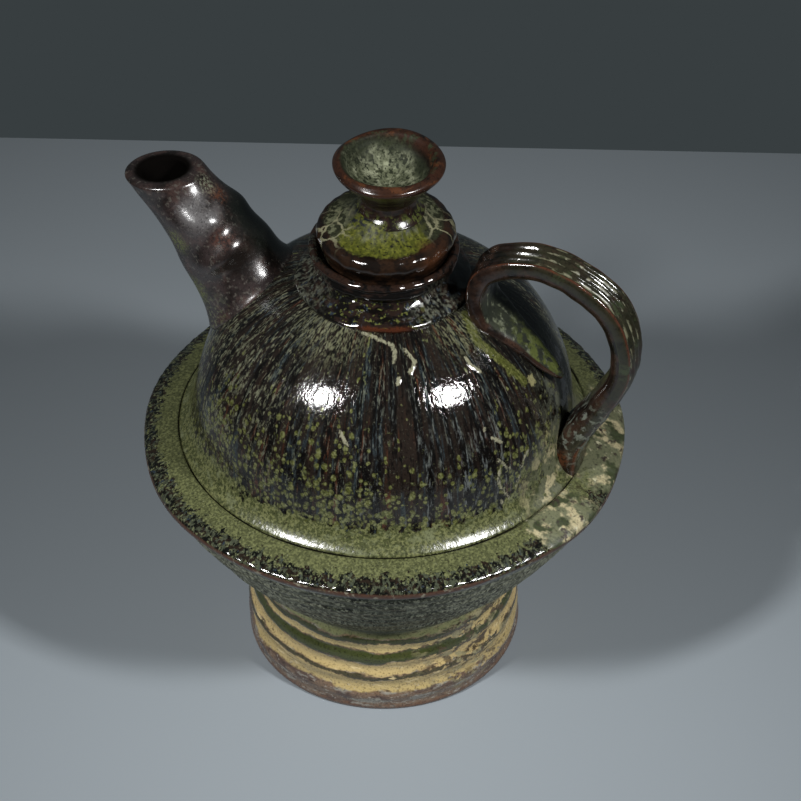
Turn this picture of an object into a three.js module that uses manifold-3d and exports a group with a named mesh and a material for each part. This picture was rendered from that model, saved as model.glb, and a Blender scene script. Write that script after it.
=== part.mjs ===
// Glazed stoneware teapot: a wide, low pot on a hollow foot, with a sharp brim between bowl and dome.
// Millimetres, +Z up. The origin is the centre of the foot on the table, the spout points along -X
// and the handle along +X. Each clay part is one mesh, as the potter made it before luting.

import * as THREE from 'three';
import { mergeVertices } from 'three/addons/utils/BufferGeometryUtils.js';
import Module from 'manifold-3d';

const wasm = await Module();
wasm.setup();

// Driving dimensions

const luteGap = 0.3;              // left between a part and the curved wall it is luted to

const footRadius = 44.7;          // at the table
const footTopRadius = 42;         // under the bowl
const footHeight = 33;
const footWall = 6;
const rollPitch = 7.4;            // throwing rolls round the foot
const rollDepth = 0.9;

const bowlHeight = 46.6;          // from the foot up to the underside of the brim's lip
const bowlBelly = 1.8;            // how far the bowl's side swells below a straight line
const bowlWall = 4.5;
const bowlFloor = 5;
const brimRadius = 75;
const lipThickness = 2.4;
const brimRise = 3.6;             // the brim climbs this much from its lip to the incised line
const ledgeDepth = 1.2;           // small step under the lip

const domeRadius = 58.5;
const domeHeight = 55.5;          // semi-axis of the dome's outline
const domeFullness = 2.15;        // power of that outline: 2 is an ellipse, more is fuller in the shoulder
const domeWall = 4.5;
const skirtRadius = 63.4;         // where the dome flares out to the incised line
const skirtHeight = 10.8;         // height over which it flares
const domeLift = 5.1;             // the ellipse's centre above the brim's seat

const neckBaseRadius = 26.4;
const neckWaistRadius = 19.7;
const neckHeight = 13.7;
const baseRingHeight = 1.8;
const midRingRadius = 22;
const midRingHeight = 9.4;         // above the foot of the neck
const collarRadius = 22.6;
const collarCrest = 2.6;          // height of the rounded top ring
const throatRadius = 15.5;
const galleryRadius = 19.7;
const galleryDepth = 3.2;

const lidClearance = 0.9;         // between the lid and the neck, all round
const lidRollRadius = 20.6;
const lidRollHeight = 10.4;       // from the gallery's seat to the top of the roll
const lidCrownHeight = 6;         // from the roll up to the foot of the knob
const lidHollowHeight = 9.5;
const spigotWall = 2;
const spigotLength = 10;

const knobRadius = 16.4;
const knobHeight = 17;
const knobStemRadius = 8.2;
const knobFootRadius = 9.2;
const knobWall = 2.4;             // at the cup's rim
const knobCupDepth = 10.6;

const spoutRootReach = 44.1;      // where the centre line leaves the dome, out from the pot's axis
const spoutTipReach = 70.2;
const spoutTipHeight = 79.3;      // mouth above the brim's seat
const spoutBow = 1.3;             // the centre line rises this much above a straight line
const spoutRootRadius = 15.6;
const spoutTipRadius = 10.5;
const spoutWall = 2.9;
const spoutMouthTilt = 8;         // degrees, the mouth leans outwards
const pourHoleRadius = 7;

// Swellings between the finger marks on the spout. Places and lengths are shares of its centre line,
// and turns are degrees round it from the side at +Y, rising over the upper side.
const knuckles = [
  { place: 0.77, turn: 146, length: 0.075, spread: 34, height: 1.5 },
  { place: 0.62, turn: 138, length: 0.06, spread: 30, height: 1.25 },
  { place: 0.5, turn: 158, length: 0.06, spread: 30, height: 0.9 },
  { place: 0.7, turn: 50, length: 0.07, spread: 34, height: 1.2 },
  { place: 0.52, turn: 70, length: 0.07, spread: 34, height: 1 },
  { place: 0.6, turn: 250, length: 0.08, spread: 40, height: 0.8 },
];

const strapWidth = 14.5;
const strapThickness = 7;
const strapTaper = 2.4;           // the strap narrows this much towards its landing
const strapRibs = 4;              // ribs between the three combed grooves
const grooveDepth = 0.9;
const handleFootReach = 59.2;
const handleFootSpread = 2.6;     // extra width and thickness at the foot
const handleOuterReach = 75.5;    // centre line's outermost point
const handleOuterHeight = 43.6;    // heights are above the brim's seat
const handleCrownReach = 50;
const handleCrownHeight = 73.5;
const landingSpread = 6.6;        // extra width where the strap is pressed on to the dome
const tailThickness = 4.6;
const tailPress = 1.1;            // how far the tail is pressed into the dome
const tailWrap = 2.2;             // its pressed edges bend down towards the dome
const tailTipThickness = 1.5;
const tailTipLift = 5;            // the leaf's tip stands off the dome
const tailDish = 2;               // hollow of the leaf's upper face

// Facets round the turned parts

const wideSegments = 44;
const roundSegments = 32;

// Heights that follow from the sizes above

const lipHeight = footHeight + bowlHeight;
const seatHeight = lipHeight + lipThickness + brimRise - 0.7;
const domeCentre = seatHeight + domeLift;
const neckFoot = domeCentre + domeHeight * domeRise(neckBaseRadius / domeRadius);
const gallerySeat = neckFoot + neckHeight - galleryDepth;
const lidFootRadius = galleryRadius - lidClearance;
const spigotRadius = throatRadius - lidClearance;
const knobFoot = gallerySeat + lidRollHeight + lidCrownHeight;

// Solids

function toGeometry(positions, indices) {
  const geometry = new THREE.BufferGeometry();
  geometry.setAttribute('position', new THREE.Float32BufferAttribute(positions, 3));
  geometry.setIndex(indices);
  return geometry;
}

// Welds a geometry's vertices, drops the slivers at the axis and turns its faces outwards.
function toSolid(source) {
  const bare = source.clone();
  bare.deleteAttribute('normal');
  bare.deleteAttribute('uv');
  const merged = mergeVertices(bare, 1e-4);
  const at = merged.attributes.position;
  const corner = (i) => new THREE.Vector3().fromBufferAttribute(at, i);
  const index = merged.index.array;
  const faces = [];
  let volume = 0;
  for (let i = 0; i < index.length; i += 3) {
    const [a, b, c] = [index[i], index[i + 1], index[i + 2]];
    if (a === b || b === c || c === a) continue;
    faces.push([a, b, c]);
    volume += corner(a).dot(corner(b).cross(corner(c)));
  }
  const triangles = faces.flatMap(([a, b, c]) => (volume < 0 ? [a, c, b] : [a, b, c]));
  return new wasm.Manifold(new wasm.Mesh({
    numProp: 3,
    vertProperties: Float32Array.from(at.array),
    triVerts: Uint32Array.from(triangles),
  }));
}

function fromSolid(solid) {
  const mesh = solid.getMesh();
  return toGeometry(Array.from(mesh.vertProperties), Array.from(mesh.triVerts));
}

// Turns a profile of [radius, height] points round the Z axis.
function turned(profile, segments) {
  const points = profile.map(([r, z]) => new THREE.Vector2(Math.max(r, 0), z));
  return toSolid(new THREE.LatheGeometry(points, segments).rotateX(Math.PI / 2));
}

function closed(profile) {
  return [...profile, profile[0]];
}

// A smooth line through a few [radius, height] points.
function smooth(points, count) {
  const curve = new THREE.SplineCurve(points.map(([x, y]) => new THREE.Vector2(x, y)));
  return curve.getPoints(count).map((p) => [p.x, p.y]);
}

function bend(from, control, to, count) {
  const [a, b, c] = [from, control, to].map(([x, y]) => new THREE.Vector2(x, y));
  return new THREE.QuadraticBezierCurve(a, b, c).getPoints(count).map((p) => [p.x, p.y]);
}

// Joins rings of points into a skin. It either closes on itself end to end or gets a fan at each end.
function skin(rings, endless) {
  const sides = rings[0].length;
  const positions = rings.flat().flatMap((p) => [p.x, p.y, p.z]);
  const indices = [];
  const spans = endless ? rings.length : rings.length - 1;
  for (let i = 0; i < spans; i += 1) {
    const lower = i * sides;
    const upper = ((i + 1) % rings.length) * sides;
    for (let j = 0; j < sides; j += 1) {
      const next = (j + 1) % sides;
      indices.push(lower + j, lower + next, upper + next, lower + j, upper + next, upper + j);
    }
  }
  if (!endless) {
    [[0, 1], [rings.length - 1, -1]].forEach(([ring, way]) => {
      const middle = rings[ring].reduce((sum, p) => sum.add(p), new THREE.Vector3());
      middle.divideScalar(sides);
      positions.push(middle.x, middle.y, middle.z);
      const hub = positions.length / 3 - 1;
      for (let j = 0; j < sides; j += 1) {
        const pair = [ring * sides + j, ring * sides + ((j + 1) % sides)];
        indices.push(hub, ...(way > 0 ? pair.reverse() : pair));
      }
    });
  }
  return toSolid(toGeometry(positions, indices));
}

// Outlines that more than one part follows

// How high the dome is at a share of its radius, as a share of its own height
function domeRise(share) {
  return (1 - share ** domeFullness) ** (1 / domeFullness);
}

// A point of the dome's outline: an angle as on an ellipse, pushed out to the fuller curve
function domeSpot(angle, radius, height) {
  const across = Math.cos(angle);
  const up = Math.sin(angle);
  const push = (across ** domeFullness + up ** domeFullness) ** (-1 / domeFullness);
  return [radius * across * push, domeCentre + height * up * push];
}

// A point on the dome at an angle above its equator, moved out along the surface's normal.
function onDome(degrees, lift) {
  const angle = THREE.MathUtils.degToRad(degrees);
  const [x, z] = domeSpot(angle, domeRadius, domeHeight);
  const normal = new THREE.Vector2(Math.cos(angle) / domeRadius, Math.sin(angle) / domeHeight);
  normal.normalize();
  return [x + normal.x * lift, z + normal.y * lift];
}

function domeOutline(grow, count) {
  const flareAngle = Math.asin(Math.min(0.5, (skirtHeight - domeLift) / domeHeight));
  const neckShare = neckBaseRadius / domeRadius;
  const neckAngle = Math.atan2(domeRise(neckShare), neckShare);
  const points = [];
  for (let i = 0; i <= count; i += 1) {
    const angle = THREE.MathUtils.lerp(flareAngle, neckAngle, i / count);
    points.push(domeSpot(angle, domeRadius + grow, domeHeight + grow));
  }
  const skirt = bend(
    [skirtRadius + grow, seatHeight + 0.9 + grow],
    [domeRadius + 0.8 + grow, seatHeight + skirtHeight * 0.35 + grow],
    points[0],
    3,
  );
  return [...skirt.slice(0, -1), ...points];
}

function brimTop(grow) {
  return bend(
    [brimRadius - 0.5, lipHeight + lipThickness + grow],
    [brimRadius - 4.6, lipHeight + lipThickness + brimRise * 0.72 + grow],
    [skirtRadius + luteGap, seatHeight + 0.7 + grow],
    4,
  );
}

// Everything inside the pot's upper surface, grown by the gap that a luted part keeps to it.
function potEnvelope(grow) {
  const base = lipHeight - 20;
  return turned([
    [0, base],
    [brimRadius, base],
    ...brimTop(grow),
    ...domeOutline(grow, 10),
    [0, neckFoot + grow],
  ], wideSegments);
}

// Pot

function footRing() {
  const rolls = [];
  const steps = 20;
  for (let i = 0; i <= steps; i += 1) {
    const z = 1.2 + ((footHeight - 1.2) * i) / steps;
    const taper = THREE.MathUtils.lerp(footRadius, footTopRadius, z / footHeight);
    const wave = (1 - Math.cos((2 * Math.PI * (footHeight - z)) / rollPitch)) / 2;
    rolls.push([taper - rollDepth + rollDepth * wave, z]);
  }
  const inside = footTopRadius - footWall;
  return turned(closed([
    [footRadius - 1.2, 0],
    ...rolls,
    [inside, footHeight],
    ...bend([inside + 0.4, footHeight * 0.75], [inside + 0.8, footHeight * 0.3], [inside + 2.6, 0], 2),
  ]), wideSegments);
}

function lowerBowl() {
  const foot = [footTopRadius, footHeight];
  const top = [brimRadius - 1.6, lipHeight - ledgeDepth];
  const across = new THREE.Vector2(top[0] - foot[0], top[1] - foot[1]);
  const outwards = new THREE.Vector2(across.y, -across.x).normalize();
  const control = [0, 1].map((k) => (foot[k] + top[k]) / 2 + outwards.getComponent(k) * 2 * bowlBelly);
  const side = new THREE.QuadraticBezierCurve(
    new THREE.Vector2(...foot),
    new THREE.Vector2(...control),
    new THREE.Vector2(...top),
  );
  const floor = footHeight + bowlFloor;
  const shelf = seatHeight - bowlWall;
  const seatInside = domeRadius - domeWall;
  const inner = [];
  for (let t = 0.02; t <= 0.86; t += 0.14) {
    const point = side.getPoint(t);
    const along = side.getTangent(t);
    const z = point.y + along.x * bowlWall;
    if (z > floor + 0.6 && z < shelf - 3) inner.push([point.x - along.y * bowlWall, z]);
  }
  const [widest, highest] = inner[inner.length - 1];
  return turned([
    [0, footHeight],
    ...side.getPoints(6).map((p) => [p.x, p.y]),
    [brimRadius - 1.1, lipHeight - ledgeDepth * 0.3],
    [brimRadius - 0.3, lipHeight],
    [brimRadius, lipHeight + lipThickness * 0.5],
    ...brimTop(0),
    [skirtRadius + luteGap, seatHeight],
    [seatInside, seatHeight],
    [seatInside, shelf],
    ...bend([widest - 4, shelf], [widest + 1, shelf - 0.4], [widest, highest], 3).slice(0, -1),
    ...inner.reverse(),
    [inner[inner.length - 1][0] - 3, floor],
    [0, floor],
  ], wideSegments);
}

// The pouring hole in the dome follows the spout's bore, so both come from the same centre line.
function domeShell() {
  const inside = [];
  const steps = 7;
  const inRadius = domeRadius - domeWall;
  const inHeight = domeHeight - domeWall;
  const throatShare = throatRadius / inRadius;
  const crown = Math.atan2(domeRise(throatShare), throatShare);
  for (let i = 0; i <= steps; i += 1) {
    inside.push(domeSpot((crown * (steps - i)) / steps, inRadius, inHeight));
  }
  const shell = turned(closed([
    [skirtRadius, seatHeight],
    ...domeOutline(0, 10),
    [throatRadius, neckFoot],
    ...inside,
    [inRadius, seatHeight],
  ]), wideSegments);
  const [root, along] = spoutRoot();
  const hole = new THREE.CylinderGeometry(pourHoleRadius, pourHoleRadius, 50, 24);
  hole.applyQuaternion(new THREE.Quaternion().setFromUnitVectors(new THREE.Vector3(0, 1, 0), along));
  hole.translate(root.x, 0, root.z);
  return shell.subtract(toSolid(hole));
}

function neckCollar() {
  const z = (height) => neckFoot + height;
  const crest = neckHeight - collarCrest;
  const outside = smooth([
    [neckBaseRadius - 0.4, z(0.05)],
    [neckBaseRadius + 0.1, z(baseRingHeight * 0.45)],
    [neckBaseRadius - 0.9, z(baseRingHeight)],
    [(neckBaseRadius + neckWaistRadius) / 2 - 0.4, z(baseRingHeight + 1.5)],
    [neckWaistRadius, z((baseRingHeight + midRingHeight) / 2 + 0.4)],
    [midRingRadius - 0.2, z(midRingHeight - 0.9)],
    [midRingRadius, z(midRingHeight)],
    [midRingRadius - 0.7, z(crest - 0.1)],
    [collarRadius - 0.2, z(crest + collarCrest * 0.3)],
    [collarRadius - 0.1, z(crest + collarCrest * 0.7)],
    [(collarRadius + galleryRadius) / 2, z(neckHeight)],
    [galleryRadius + 0.1, z(crest + collarCrest * 0.65)],
  ], 18);
  return turned(closed([
    [throatRadius, neckFoot],
    [neckBaseRadius - 0.4, neckFoot],
    ...outside.slice(1),
    [galleryRadius, gallerySeat],
    [throatRadius, gallerySeat],
  ]), roundSegments);
}

// Spout

function spoutCurve() {
  const rootHeight = domeCentre + domeHeight * domeRise(spoutRootReach / domeRadius);
  const root = new THREE.Vector2(spoutRootReach, rootHeight);
  const tip = new THREE.Vector2(spoutTipReach, seatHeight + spoutTipHeight);
  const straight = tip.clone().sub(root);
  const bow = new THREE.Vector2(-straight.y, straight.x).normalize().multiplyScalar(2 * spoutBow);
  const middle = root.clone().add(tip).multiplyScalar(0.5).add(bow);
  const inwards = root.clone().sub(middle).normalize().multiplyScalar(14);
  const start = root.clone().add(inwards);
  return new THREE.SplineCurve([
    start,
    root,
    new THREE.QuadraticBezierCurve(root, middle, tip).getPoint(0.5),
    tip,
  ]);
}

// The bore's axis where it leaves the dome. The curve's x is the reach, so it is turned to -X here.
function spoutRoot() {
  const curve = spoutCurve();
  const root = curve.points[1];
  const tangent = curve.getTangent(1 / 3);
  return [
    new THREE.Vector3(-root.x, 0, root.y),
    new THREE.Vector3(-tangent.x, 0, tangent.y).normalize(),
  ];
}

function knuckleSwell(t, degrees) {
  return knuckles.reduce((swell, mark) => {
    const turn = THREE.MathUtils.euclideanModulo(degrees - mark.turn + 180, 360) - 180;
    const bell = Math.exp(-(((t - mark.place) / mark.length) ** 2) - (turn / mark.spread) ** 2);
    return swell + mark.height * bell;
  }, 0);
}

function spoutRing(t, inset, sides) {
  const curve = spoutCurve();
  const centre = curve.getPoint(t);
  const along = curve.getTangent(t);
  const tilt = THREE.MathUtils.degToRad(spoutMouthTilt);
  const mouth = new THREE.Vector2(Math.sin(tilt), Math.cos(tilt));
  const face = along.clone().lerp(mouth, THREE.MathUtils.smoothstep(t, 0.5, 1)).normalize();
  const stretch = 1 / face.dot(along);
  const up = new THREE.Vector2(-face.y, face.x);
  const taper = THREE.MathUtils.smoothstep(t, 0.2, 0.95);
  const radius = THREE.MathUtils.lerp(spoutRootRadius, spoutTipRadius, taper);
  const ring = [];
  for (let j = 0; j < sides; j += 1) {
    const angle = (2 * Math.PI * j) / sides;
    const outside = inset > 0 ? 0 : 1 - THREE.MathUtils.smoothstep(t, 0.9, 0.99);
    const size = radius + knuckleSwell(t, THREE.MathUtils.radToDeg(angle)) * outside - inset;
    const across = Math.cos(angle) * size;
    const rise = Math.sin(angle) * size * stretch;
    ring.push(new THREE.Vector3(-(centre.x + up.x * rise), across, centre.y + up.y * rise));
  }
  return ring;
}

function spout() {
  const sides = 22;
  const steps = 16;
  const lip = spoutWall / 2;
  const rings = [];
  for (let i = 0; i <= steps; i += 1) rings.push(spoutRing(i / steps * 0.975, 0, sides));
  rings.push(spoutRing(0.995, lip * 0.35, sides));
  rings.push(spoutRing(1, lip, sides));
  rings.push(spoutRing(0.99, lip * 1.7, sides));
  for (let i = steps / 2; i >= 0; i -= 1) rings.push(spoutRing(i / (steps / 2) * 0.96, spoutWall, sides));
  return skin(rings, true).subtract(potEnvelope(luteGap));
}

// Handle

function handleCurve() {
  const z = (height) => seatHeight + height;
  const reach = handleOuterReach - handleFootReach;
  const span = handleOuterReach - handleCrownReach;
  const rise = handleCrownHeight - handleOuterHeight;
  const rest = tailThickness / 2 - tailPress;
  const points = [
    [handleFootReach, z(-1)],
    [handleFootReach + reach * 0.07, z(handleOuterHeight * 0.22)],
    [handleFootReach + reach * 0.6, z(handleOuterHeight * 0.61)],
    [handleOuterReach, z(handleOuterHeight)],
    [handleCrownReach + span * 0.81, z(handleOuterHeight + rise * 0.62)],
    [handleCrownReach, z(handleCrownHeight)],
    onDome(63, 16 - tailPress),
    onDome(62.5, 9.2 - tailPress),
    onDome(57.5, 3.5 - tailPress),
    onDome(50, rest),
    onDome(41.5, rest),
    onDome(34, rest + tailTipLift * 0.12),
    onDome(27, tailTipLift - tailPress),
  ];
  const stops = points.map(([x, y]) => new THREE.Vector3(x, 0, y));
  return new THREE.CatmullRomCurve3(stops, false, 'centripetal');
}

// The strap's outline across its path. The outer face is ribbed, the inner one dished, and both bend
// over by the wrap at the edges.
function strapOutline(width, thickness, groove, dish, wrap) {
  const outline = [];
  const outer = 24;
  const inner = 8;
  const edge = (u) => Math.max(0, 1 - Math.abs(u) ** 6) ** 0.4;
  for (let i = 0; i < outer; i += 1) {
    const u = -Math.cos((Math.PI * i) / outer);
    const comb = (1 + Math.cos(Math.PI * strapRibs * (u + 1))) / 2;
    const rise = edge(u) * (thickness / 2 - groove * comb * (1 - u ** 4));
    outline.push([(u * width) / 2, rise + wrap * u * u]);
  }
  for (let i = 0; i < inner; i += 1) {
    const u = Math.cos((Math.PI * i) / inner);
    const rise = (-edge(u) * thickness) / 2 + dish * (1 - u * u);
    outline.push([(u * width) / 2, rise + wrap * u * u]);
  }
  return outline;
}

function handleStrap() {
  const curve = handleCurve();
  const steps = 34;
  const rings = [];
  for (let i = 0; i <= steps; i += 1) {
    const t = i / steps;
    const centre = curve.getPointAt(t);
    const along = curve.getTangentAt(t);
    const out = new THREE.Vector3(along.z, 0, -along.x);
    const foot = 1 - THREE.MathUtils.smoothstep(t, 0, 0.2);
    const leaf = THREE.MathUtils.smoothstep(t, 0.66, 0.84);
    const tip = THREE.MathUtils.smoothstep(t, 0.84, 1);
    const point = Math.sqrt(Math.max(0.02, 1 - Math.max(0, (t - 0.82) / 0.18) ** 2));
    const spread = landingSpread * Math.exp(-(((t - 0.79) / 0.08) ** 2));
    const narrowing = strapTaper * THREE.MathUtils.smoothstep(t, 0.3, 0.6);
    const width = (strapWidth - narrowing + handleFootSpread * foot + spread) * point;
    const strap = strapThickness + handleFootSpread * foot;
    const thickness = THREE.MathUtils.lerp(
      THREE.MathUtils.lerp(strap, tailThickness, leaf),
      tailTipThickness,
      tip,
    );
    const dish = Math.min(tailDish * leaf * point, thickness * 0.35);
    const groove = grooveDepth * (1 - leaf) * (1 - foot);
    rings.push(strapOutline(width, thickness, groove, dish, tailWrap * leaf * (1 - tip))
      .map(([across, rise]) => centre.clone().addScaledVector(out, rise).setY(across)));
  }
  return skin(rings, false).subtract(potEnvelope(luteGap));
}

// Lid

function lidDisc() {
  const z = (height) => gallerySeat + height;
  const rollTop = lidRollHeight;
  const collarTop = galleryDepth + 0.8;
  const hollow = spigotRadius - spigotWall;
  const roll = smooth([
    [lidFootRadius, z(galleryDepth * 0.75)],
    [lidRollRadius - 0.5, z(collarTop + 1.4)],
    [lidRollRadius, z((collarTop + rollTop) / 2)],
    [lidRollRadius - 0.7, z(rollTop - 1)],
    [lidRollRadius - 2.2, z(rollTop)],
    [lidRollRadius - 5, z(rollTop + 0.8)],
    [(knobFootRadius + lidRollRadius - 5) / 2, z(rollTop + lidCrownHeight * 0.42)],
    [knobFootRadius, z(rollTop + lidCrownHeight)],
  ], 13);
  return turned([
    [0, z(lidHollowHeight)],
    ...bend([hollow * 0.55, z(lidHollowHeight)], [hollow, z(lidHollowHeight)], [hollow, z(0)], 4),
    [lidFootRadius - 0.5, z(0)],
    [lidFootRadius, z(0.5)],
    ...roll,
    [0, z(rollTop + lidCrownHeight)],
  ], roundSegments);
}

function lidSpigot() {
  const bottom = gallerySeat - spigotLength;
  const inside = spigotRadius - spigotWall;
  return turned(closed([
    [inside, gallerySeat],
    [inside, bottom + 0.4],
    [inside + 0.5, bottom],
    [spigotRadius - 0.7, bottom],
    [spigotRadius, bottom + 0.7],
    [spigotRadius, gallerySeat],
  ]), roundSegments);
}

function lidKnob() {
  const z = (height) => knobFoot + height;
  const outside = smooth([
    [knobFootRadius, z(0)],
    [knobStemRadius, z(2.4)],
    [knobStemRadius + 0.3, z(5)],
    [knobStemRadius + (knobRadius - knobStemRadius) * 0.4, z(knobHeight * 0.52)],
    [knobRadius - 1.9, z(knobHeight * 0.76)],
    [knobRadius, z(knobHeight - 1.3)],
    [knobRadius - 0.5, z(knobHeight - 0.1)],
    [knobRadius - knobWall * 0.75, z(knobHeight - 0.2)],
  ], 13);
  const cupFloor = knobHeight - knobCupDepth;
  return turned([
    [0, z(0)],
    ...outside,
    ...smooth([
      [knobRadius - knobWall, z(knobHeight - 1.3)],
      [knobRadius - knobWall - 2.2, z(knobHeight - knobCupDepth * 0.48)],
      [(knobRadius - knobWall) * 0.5, z(cupFloor + 1.4)],
      [0, z(cupFloor)],
    ], 7),
  ], roundSegments);
}

// Finishes

function glaze(color, roughness) {
  return new THREE.MeshStandardMaterial({ color, roughness, metalness: 0 });
}

const pieces = [
  ['foot_ring', footRing(), glaze(0x9c8f5c, 0.35)],
  ['lower_bowl', lowerBowl(), glaze(0x4a4a38, 0.25)],
  ['dome_shell', domeShell(), glaze(0x3a342c, 0.2)],
  ['neck_collar', neckCollar(), glaze(0x33291f, 0.2)],
  ['spout', spout(), glaze(0x40352e, 0.22)],
  ['handle_strap', handleStrap(), glaze(0x4b3a2c, 0.25)],
  ['lid_disc', lidDisc(), glaze(0x5d5a2e, 0.22)],
  ['lid_spigot', lidSpigot(), glaze(0x6b5a44, 0.6)],
  ['lid_knob', lidKnob(), glaze(0x4e3b2b, 0.22)],
];

const teapot = new THREE.Group();
pieces.forEach(([name, solid, material]) => {
  const mesh = new THREE.Mesh(fromSolid(solid), material);
  mesh.name = name;
  teapot.add(mesh);
});

export default teapot;
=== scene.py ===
import math

import bpy
import numpy as np
from mathutils import Matrix, Vector


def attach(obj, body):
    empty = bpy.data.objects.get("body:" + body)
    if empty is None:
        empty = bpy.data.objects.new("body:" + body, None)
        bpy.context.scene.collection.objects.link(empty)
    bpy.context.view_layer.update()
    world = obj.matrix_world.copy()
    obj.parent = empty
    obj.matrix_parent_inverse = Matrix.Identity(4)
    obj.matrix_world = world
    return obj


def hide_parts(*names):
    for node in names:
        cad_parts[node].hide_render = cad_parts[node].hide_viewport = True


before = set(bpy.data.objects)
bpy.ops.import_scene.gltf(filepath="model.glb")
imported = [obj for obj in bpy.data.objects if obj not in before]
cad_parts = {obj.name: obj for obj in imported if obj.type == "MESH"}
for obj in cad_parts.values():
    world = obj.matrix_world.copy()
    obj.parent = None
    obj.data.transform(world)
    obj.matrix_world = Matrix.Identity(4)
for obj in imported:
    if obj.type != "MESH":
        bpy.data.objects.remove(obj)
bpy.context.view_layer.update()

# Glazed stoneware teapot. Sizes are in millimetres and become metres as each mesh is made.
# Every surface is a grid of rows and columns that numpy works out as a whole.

mm = 0.001
fullTurn = 2 * np.pi
print("frame loaded")


# Curves

def unit(vectors):
    # Each vector divided by its length.
    return vectors / np.linalg.norm(vectors, axis=-1, keepdims=True)


def stepSums(points):
    # How far along the line each point lies.
    return np.concatenate([[0], np.cumsum(np.linalg.norm(np.diff(points, axis=0), axis=1))])


def sampled(at, stops, points):
    # The columns of a table of points, read at new stops by straight interpolation.
    return np.stack([np.interp(at, stops, points[:, k]) for k in range(points.shape[1])], 1)


def splineLine(points, count):
    # A cubic between neighbours, whose slope at each point is half the step across it.
    given = np.asarray(points, float)
    p = np.vstack([given[0], given, given[-1]])
    u = np.linspace(0, len(given) - 1, count + 1)
    i = np.minimum(u.astype(int), len(given) - 2)
    t = (u - i)[:, None]
    a, b, c, d = p[i], p[i + 1], p[i + 2], p[i + 3]
    return b + 0.5 * t * ((c - a) + t * ((2 * a - 5 * b + 4 * c - d) + t * (3 * (b - c) + d - a)))


def centripetalLine(points, count):
    # A cubic between neighbours whose slopes are weighed by the square roots of their distances.
    p = np.vstack([2 * points[0] - points[1], points, 2 * points[-1] - points[-2]])
    t = np.linspace(0, 1, count, endpoint=False)[:, None]
    parts = []
    for a, b, c, d in zip(p[:-3], p[1:-2], p[2:-1], p[3:]):
        ab, bc, cd = (math.sqrt(np.linalg.norm(q - r)) for q, r in ((b, a), (c, b), (d, c)))
        m = ((b - a) / ab - (c - a) / (ab + bc) + (c - b) / bc) * bc
        n = ((c - b) / bc - (d - b) / (bc + cd) + (d - c) / cd) * bc
        parts.append(b + m * t + (-3 * b + 3 * c - 2 * m - n) * t ** 2 + (2 * b - 2 * c + m + n) * t ** 3)
    return np.vstack(parts + [points[-1:]])


def bendLine(start, control, end, count):
    # The quadratic curve (1-t)(1-t) start + 2t(1-t) control + tt end.
    t = np.linspace(0, 1, count + 1)[:, None]
    start, control, end = (np.asarray(p, float) for p in (start, control, end))
    return (1 - t) ** 2 * start + 2 * t * (1 - t) * control + t ** 2 * end


def evenLine(points, spacing):
    # The same line with points at even steps of its length.
    lengths = stepSums(points)
    count = max(2, int(round(lengths[-1] / spacing)))
    return sampled(np.linspace(0, lengths[-1], count + 1), lengths, points)


def onLine(line, places):
    # The line's points at shares of its length, and its unit slope there.
    stops = np.linspace(0, 1, len(line))
    return sampled(places, stops, line), unit(sampled(places, stops, unit(np.gradient(line, axis=0))))


def softProfile(stretches, sizes, loop):
    # Joins stretches of [radius, height] points into one outline and rounds its corners by averaging
    # it with a bell curve. Each stretch names the row spacing it has, finer where the surface is seen.
    softness, fine, leastSpacing = sizes["softness"], 0.1, 0.2
    rows = np.vstack([np.column_stack([p, np.full(len(p), sizes[kind])]) for kind, p in stretches])
    if loop:
        rows = np.vstack([rows, rows[:1]])
    rows = rows[np.concatenate([[True], np.linalg.norm(np.diff(rows[:, :2], axis=0), axis=1) > 1e-6])]
    lengths = stepSums(rows[:, :2])
    dense = sampled(np.arange(0, lengths[-1], fine), lengths, rows)
    reach = int(4 * softness / fine)
    weights = np.exp(-0.5 * (np.arange(-reach, reach + 1) * fine / softness) ** 2)
    weights /= weights.sum()
    before, after = dense[-reach:], dense[:reach]
    if not loop:
        before, after = 2 * dense[0] - dense[reach:0:-1], 2 * dense[-1] - dense[-2:-reach - 2:-1]
    padded = np.vstack([before, dense, after])
    soft = np.stack([np.convolve(padded[:, k], weights, "valid") for k in range(3)], 1)
    rung = np.concatenate([[0], np.cumsum(fine / np.maximum(soft[:, 2], leastSpacing)[:-1])])
    stops = np.linspace(0, rung[-1], int(np.ceil(rung[-1])), endpoint=not loop)
    along = np.interp(stops, rung, np.arange(len(soft)) * fine)
    return sampled(stops, rung, soft[:, :2]), along


# Relief, as heights along the surface's normal

def ripple(angle, along, *rows):
    # A sum of cosines with random phases for each row, which holds the depth it comes to (its root mean
    # square), the least and most whole waves in a turn, the shortest and longest wavelength down the
    # surface in millimetres, how many cosines there are, and the seed.
    total = np.zeros(np.broadcast(angle, along).shape)
    for depth, turns, wavelengths, count, seed in rows:
        random = np.random.default_rng(seed)
        for _ in range(count):
            waves = random.integers(turns[0], turns[1] + 1)
            pitch = fullTurn / random.uniform(*wavelengths) * random.choice([-1, 1])
            wave = np.cos(waves * angle + pitch * along + random.uniform(0, fullTurn))
            total += depth / math.sqrt(count / 2) * wave
    return total


def bell(value, centre, width):
    # exp(-tt), where t is the distance from the centre in widths.
    return np.exp(-(((value - centre) / width) ** 2))


def ease(low, high, value):
    # 0 below low, 1 above high, and 3tt - 2ttt between.
    t = np.clip((value - low) / (high - low), 0, 1)
    return t * t * (3 - 2 * t)


def nearLines(points, lines):
    # Distance from each point to the nearest of some broken lines.
    nearest = np.full(points.shape[:-1], np.inf)
    for line in lines:
        for a, b in zip(line[:-1], line[1:]):
            step = b - a
            t = np.clip(((points - a) @ step) / max(step @ step, 1e-9), 0, 1)
            nearest = np.minimum(nearest, np.linalg.norm(points - (a + t[..., None] * step), axis=-1))
    return nearest


# Meshes

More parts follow.
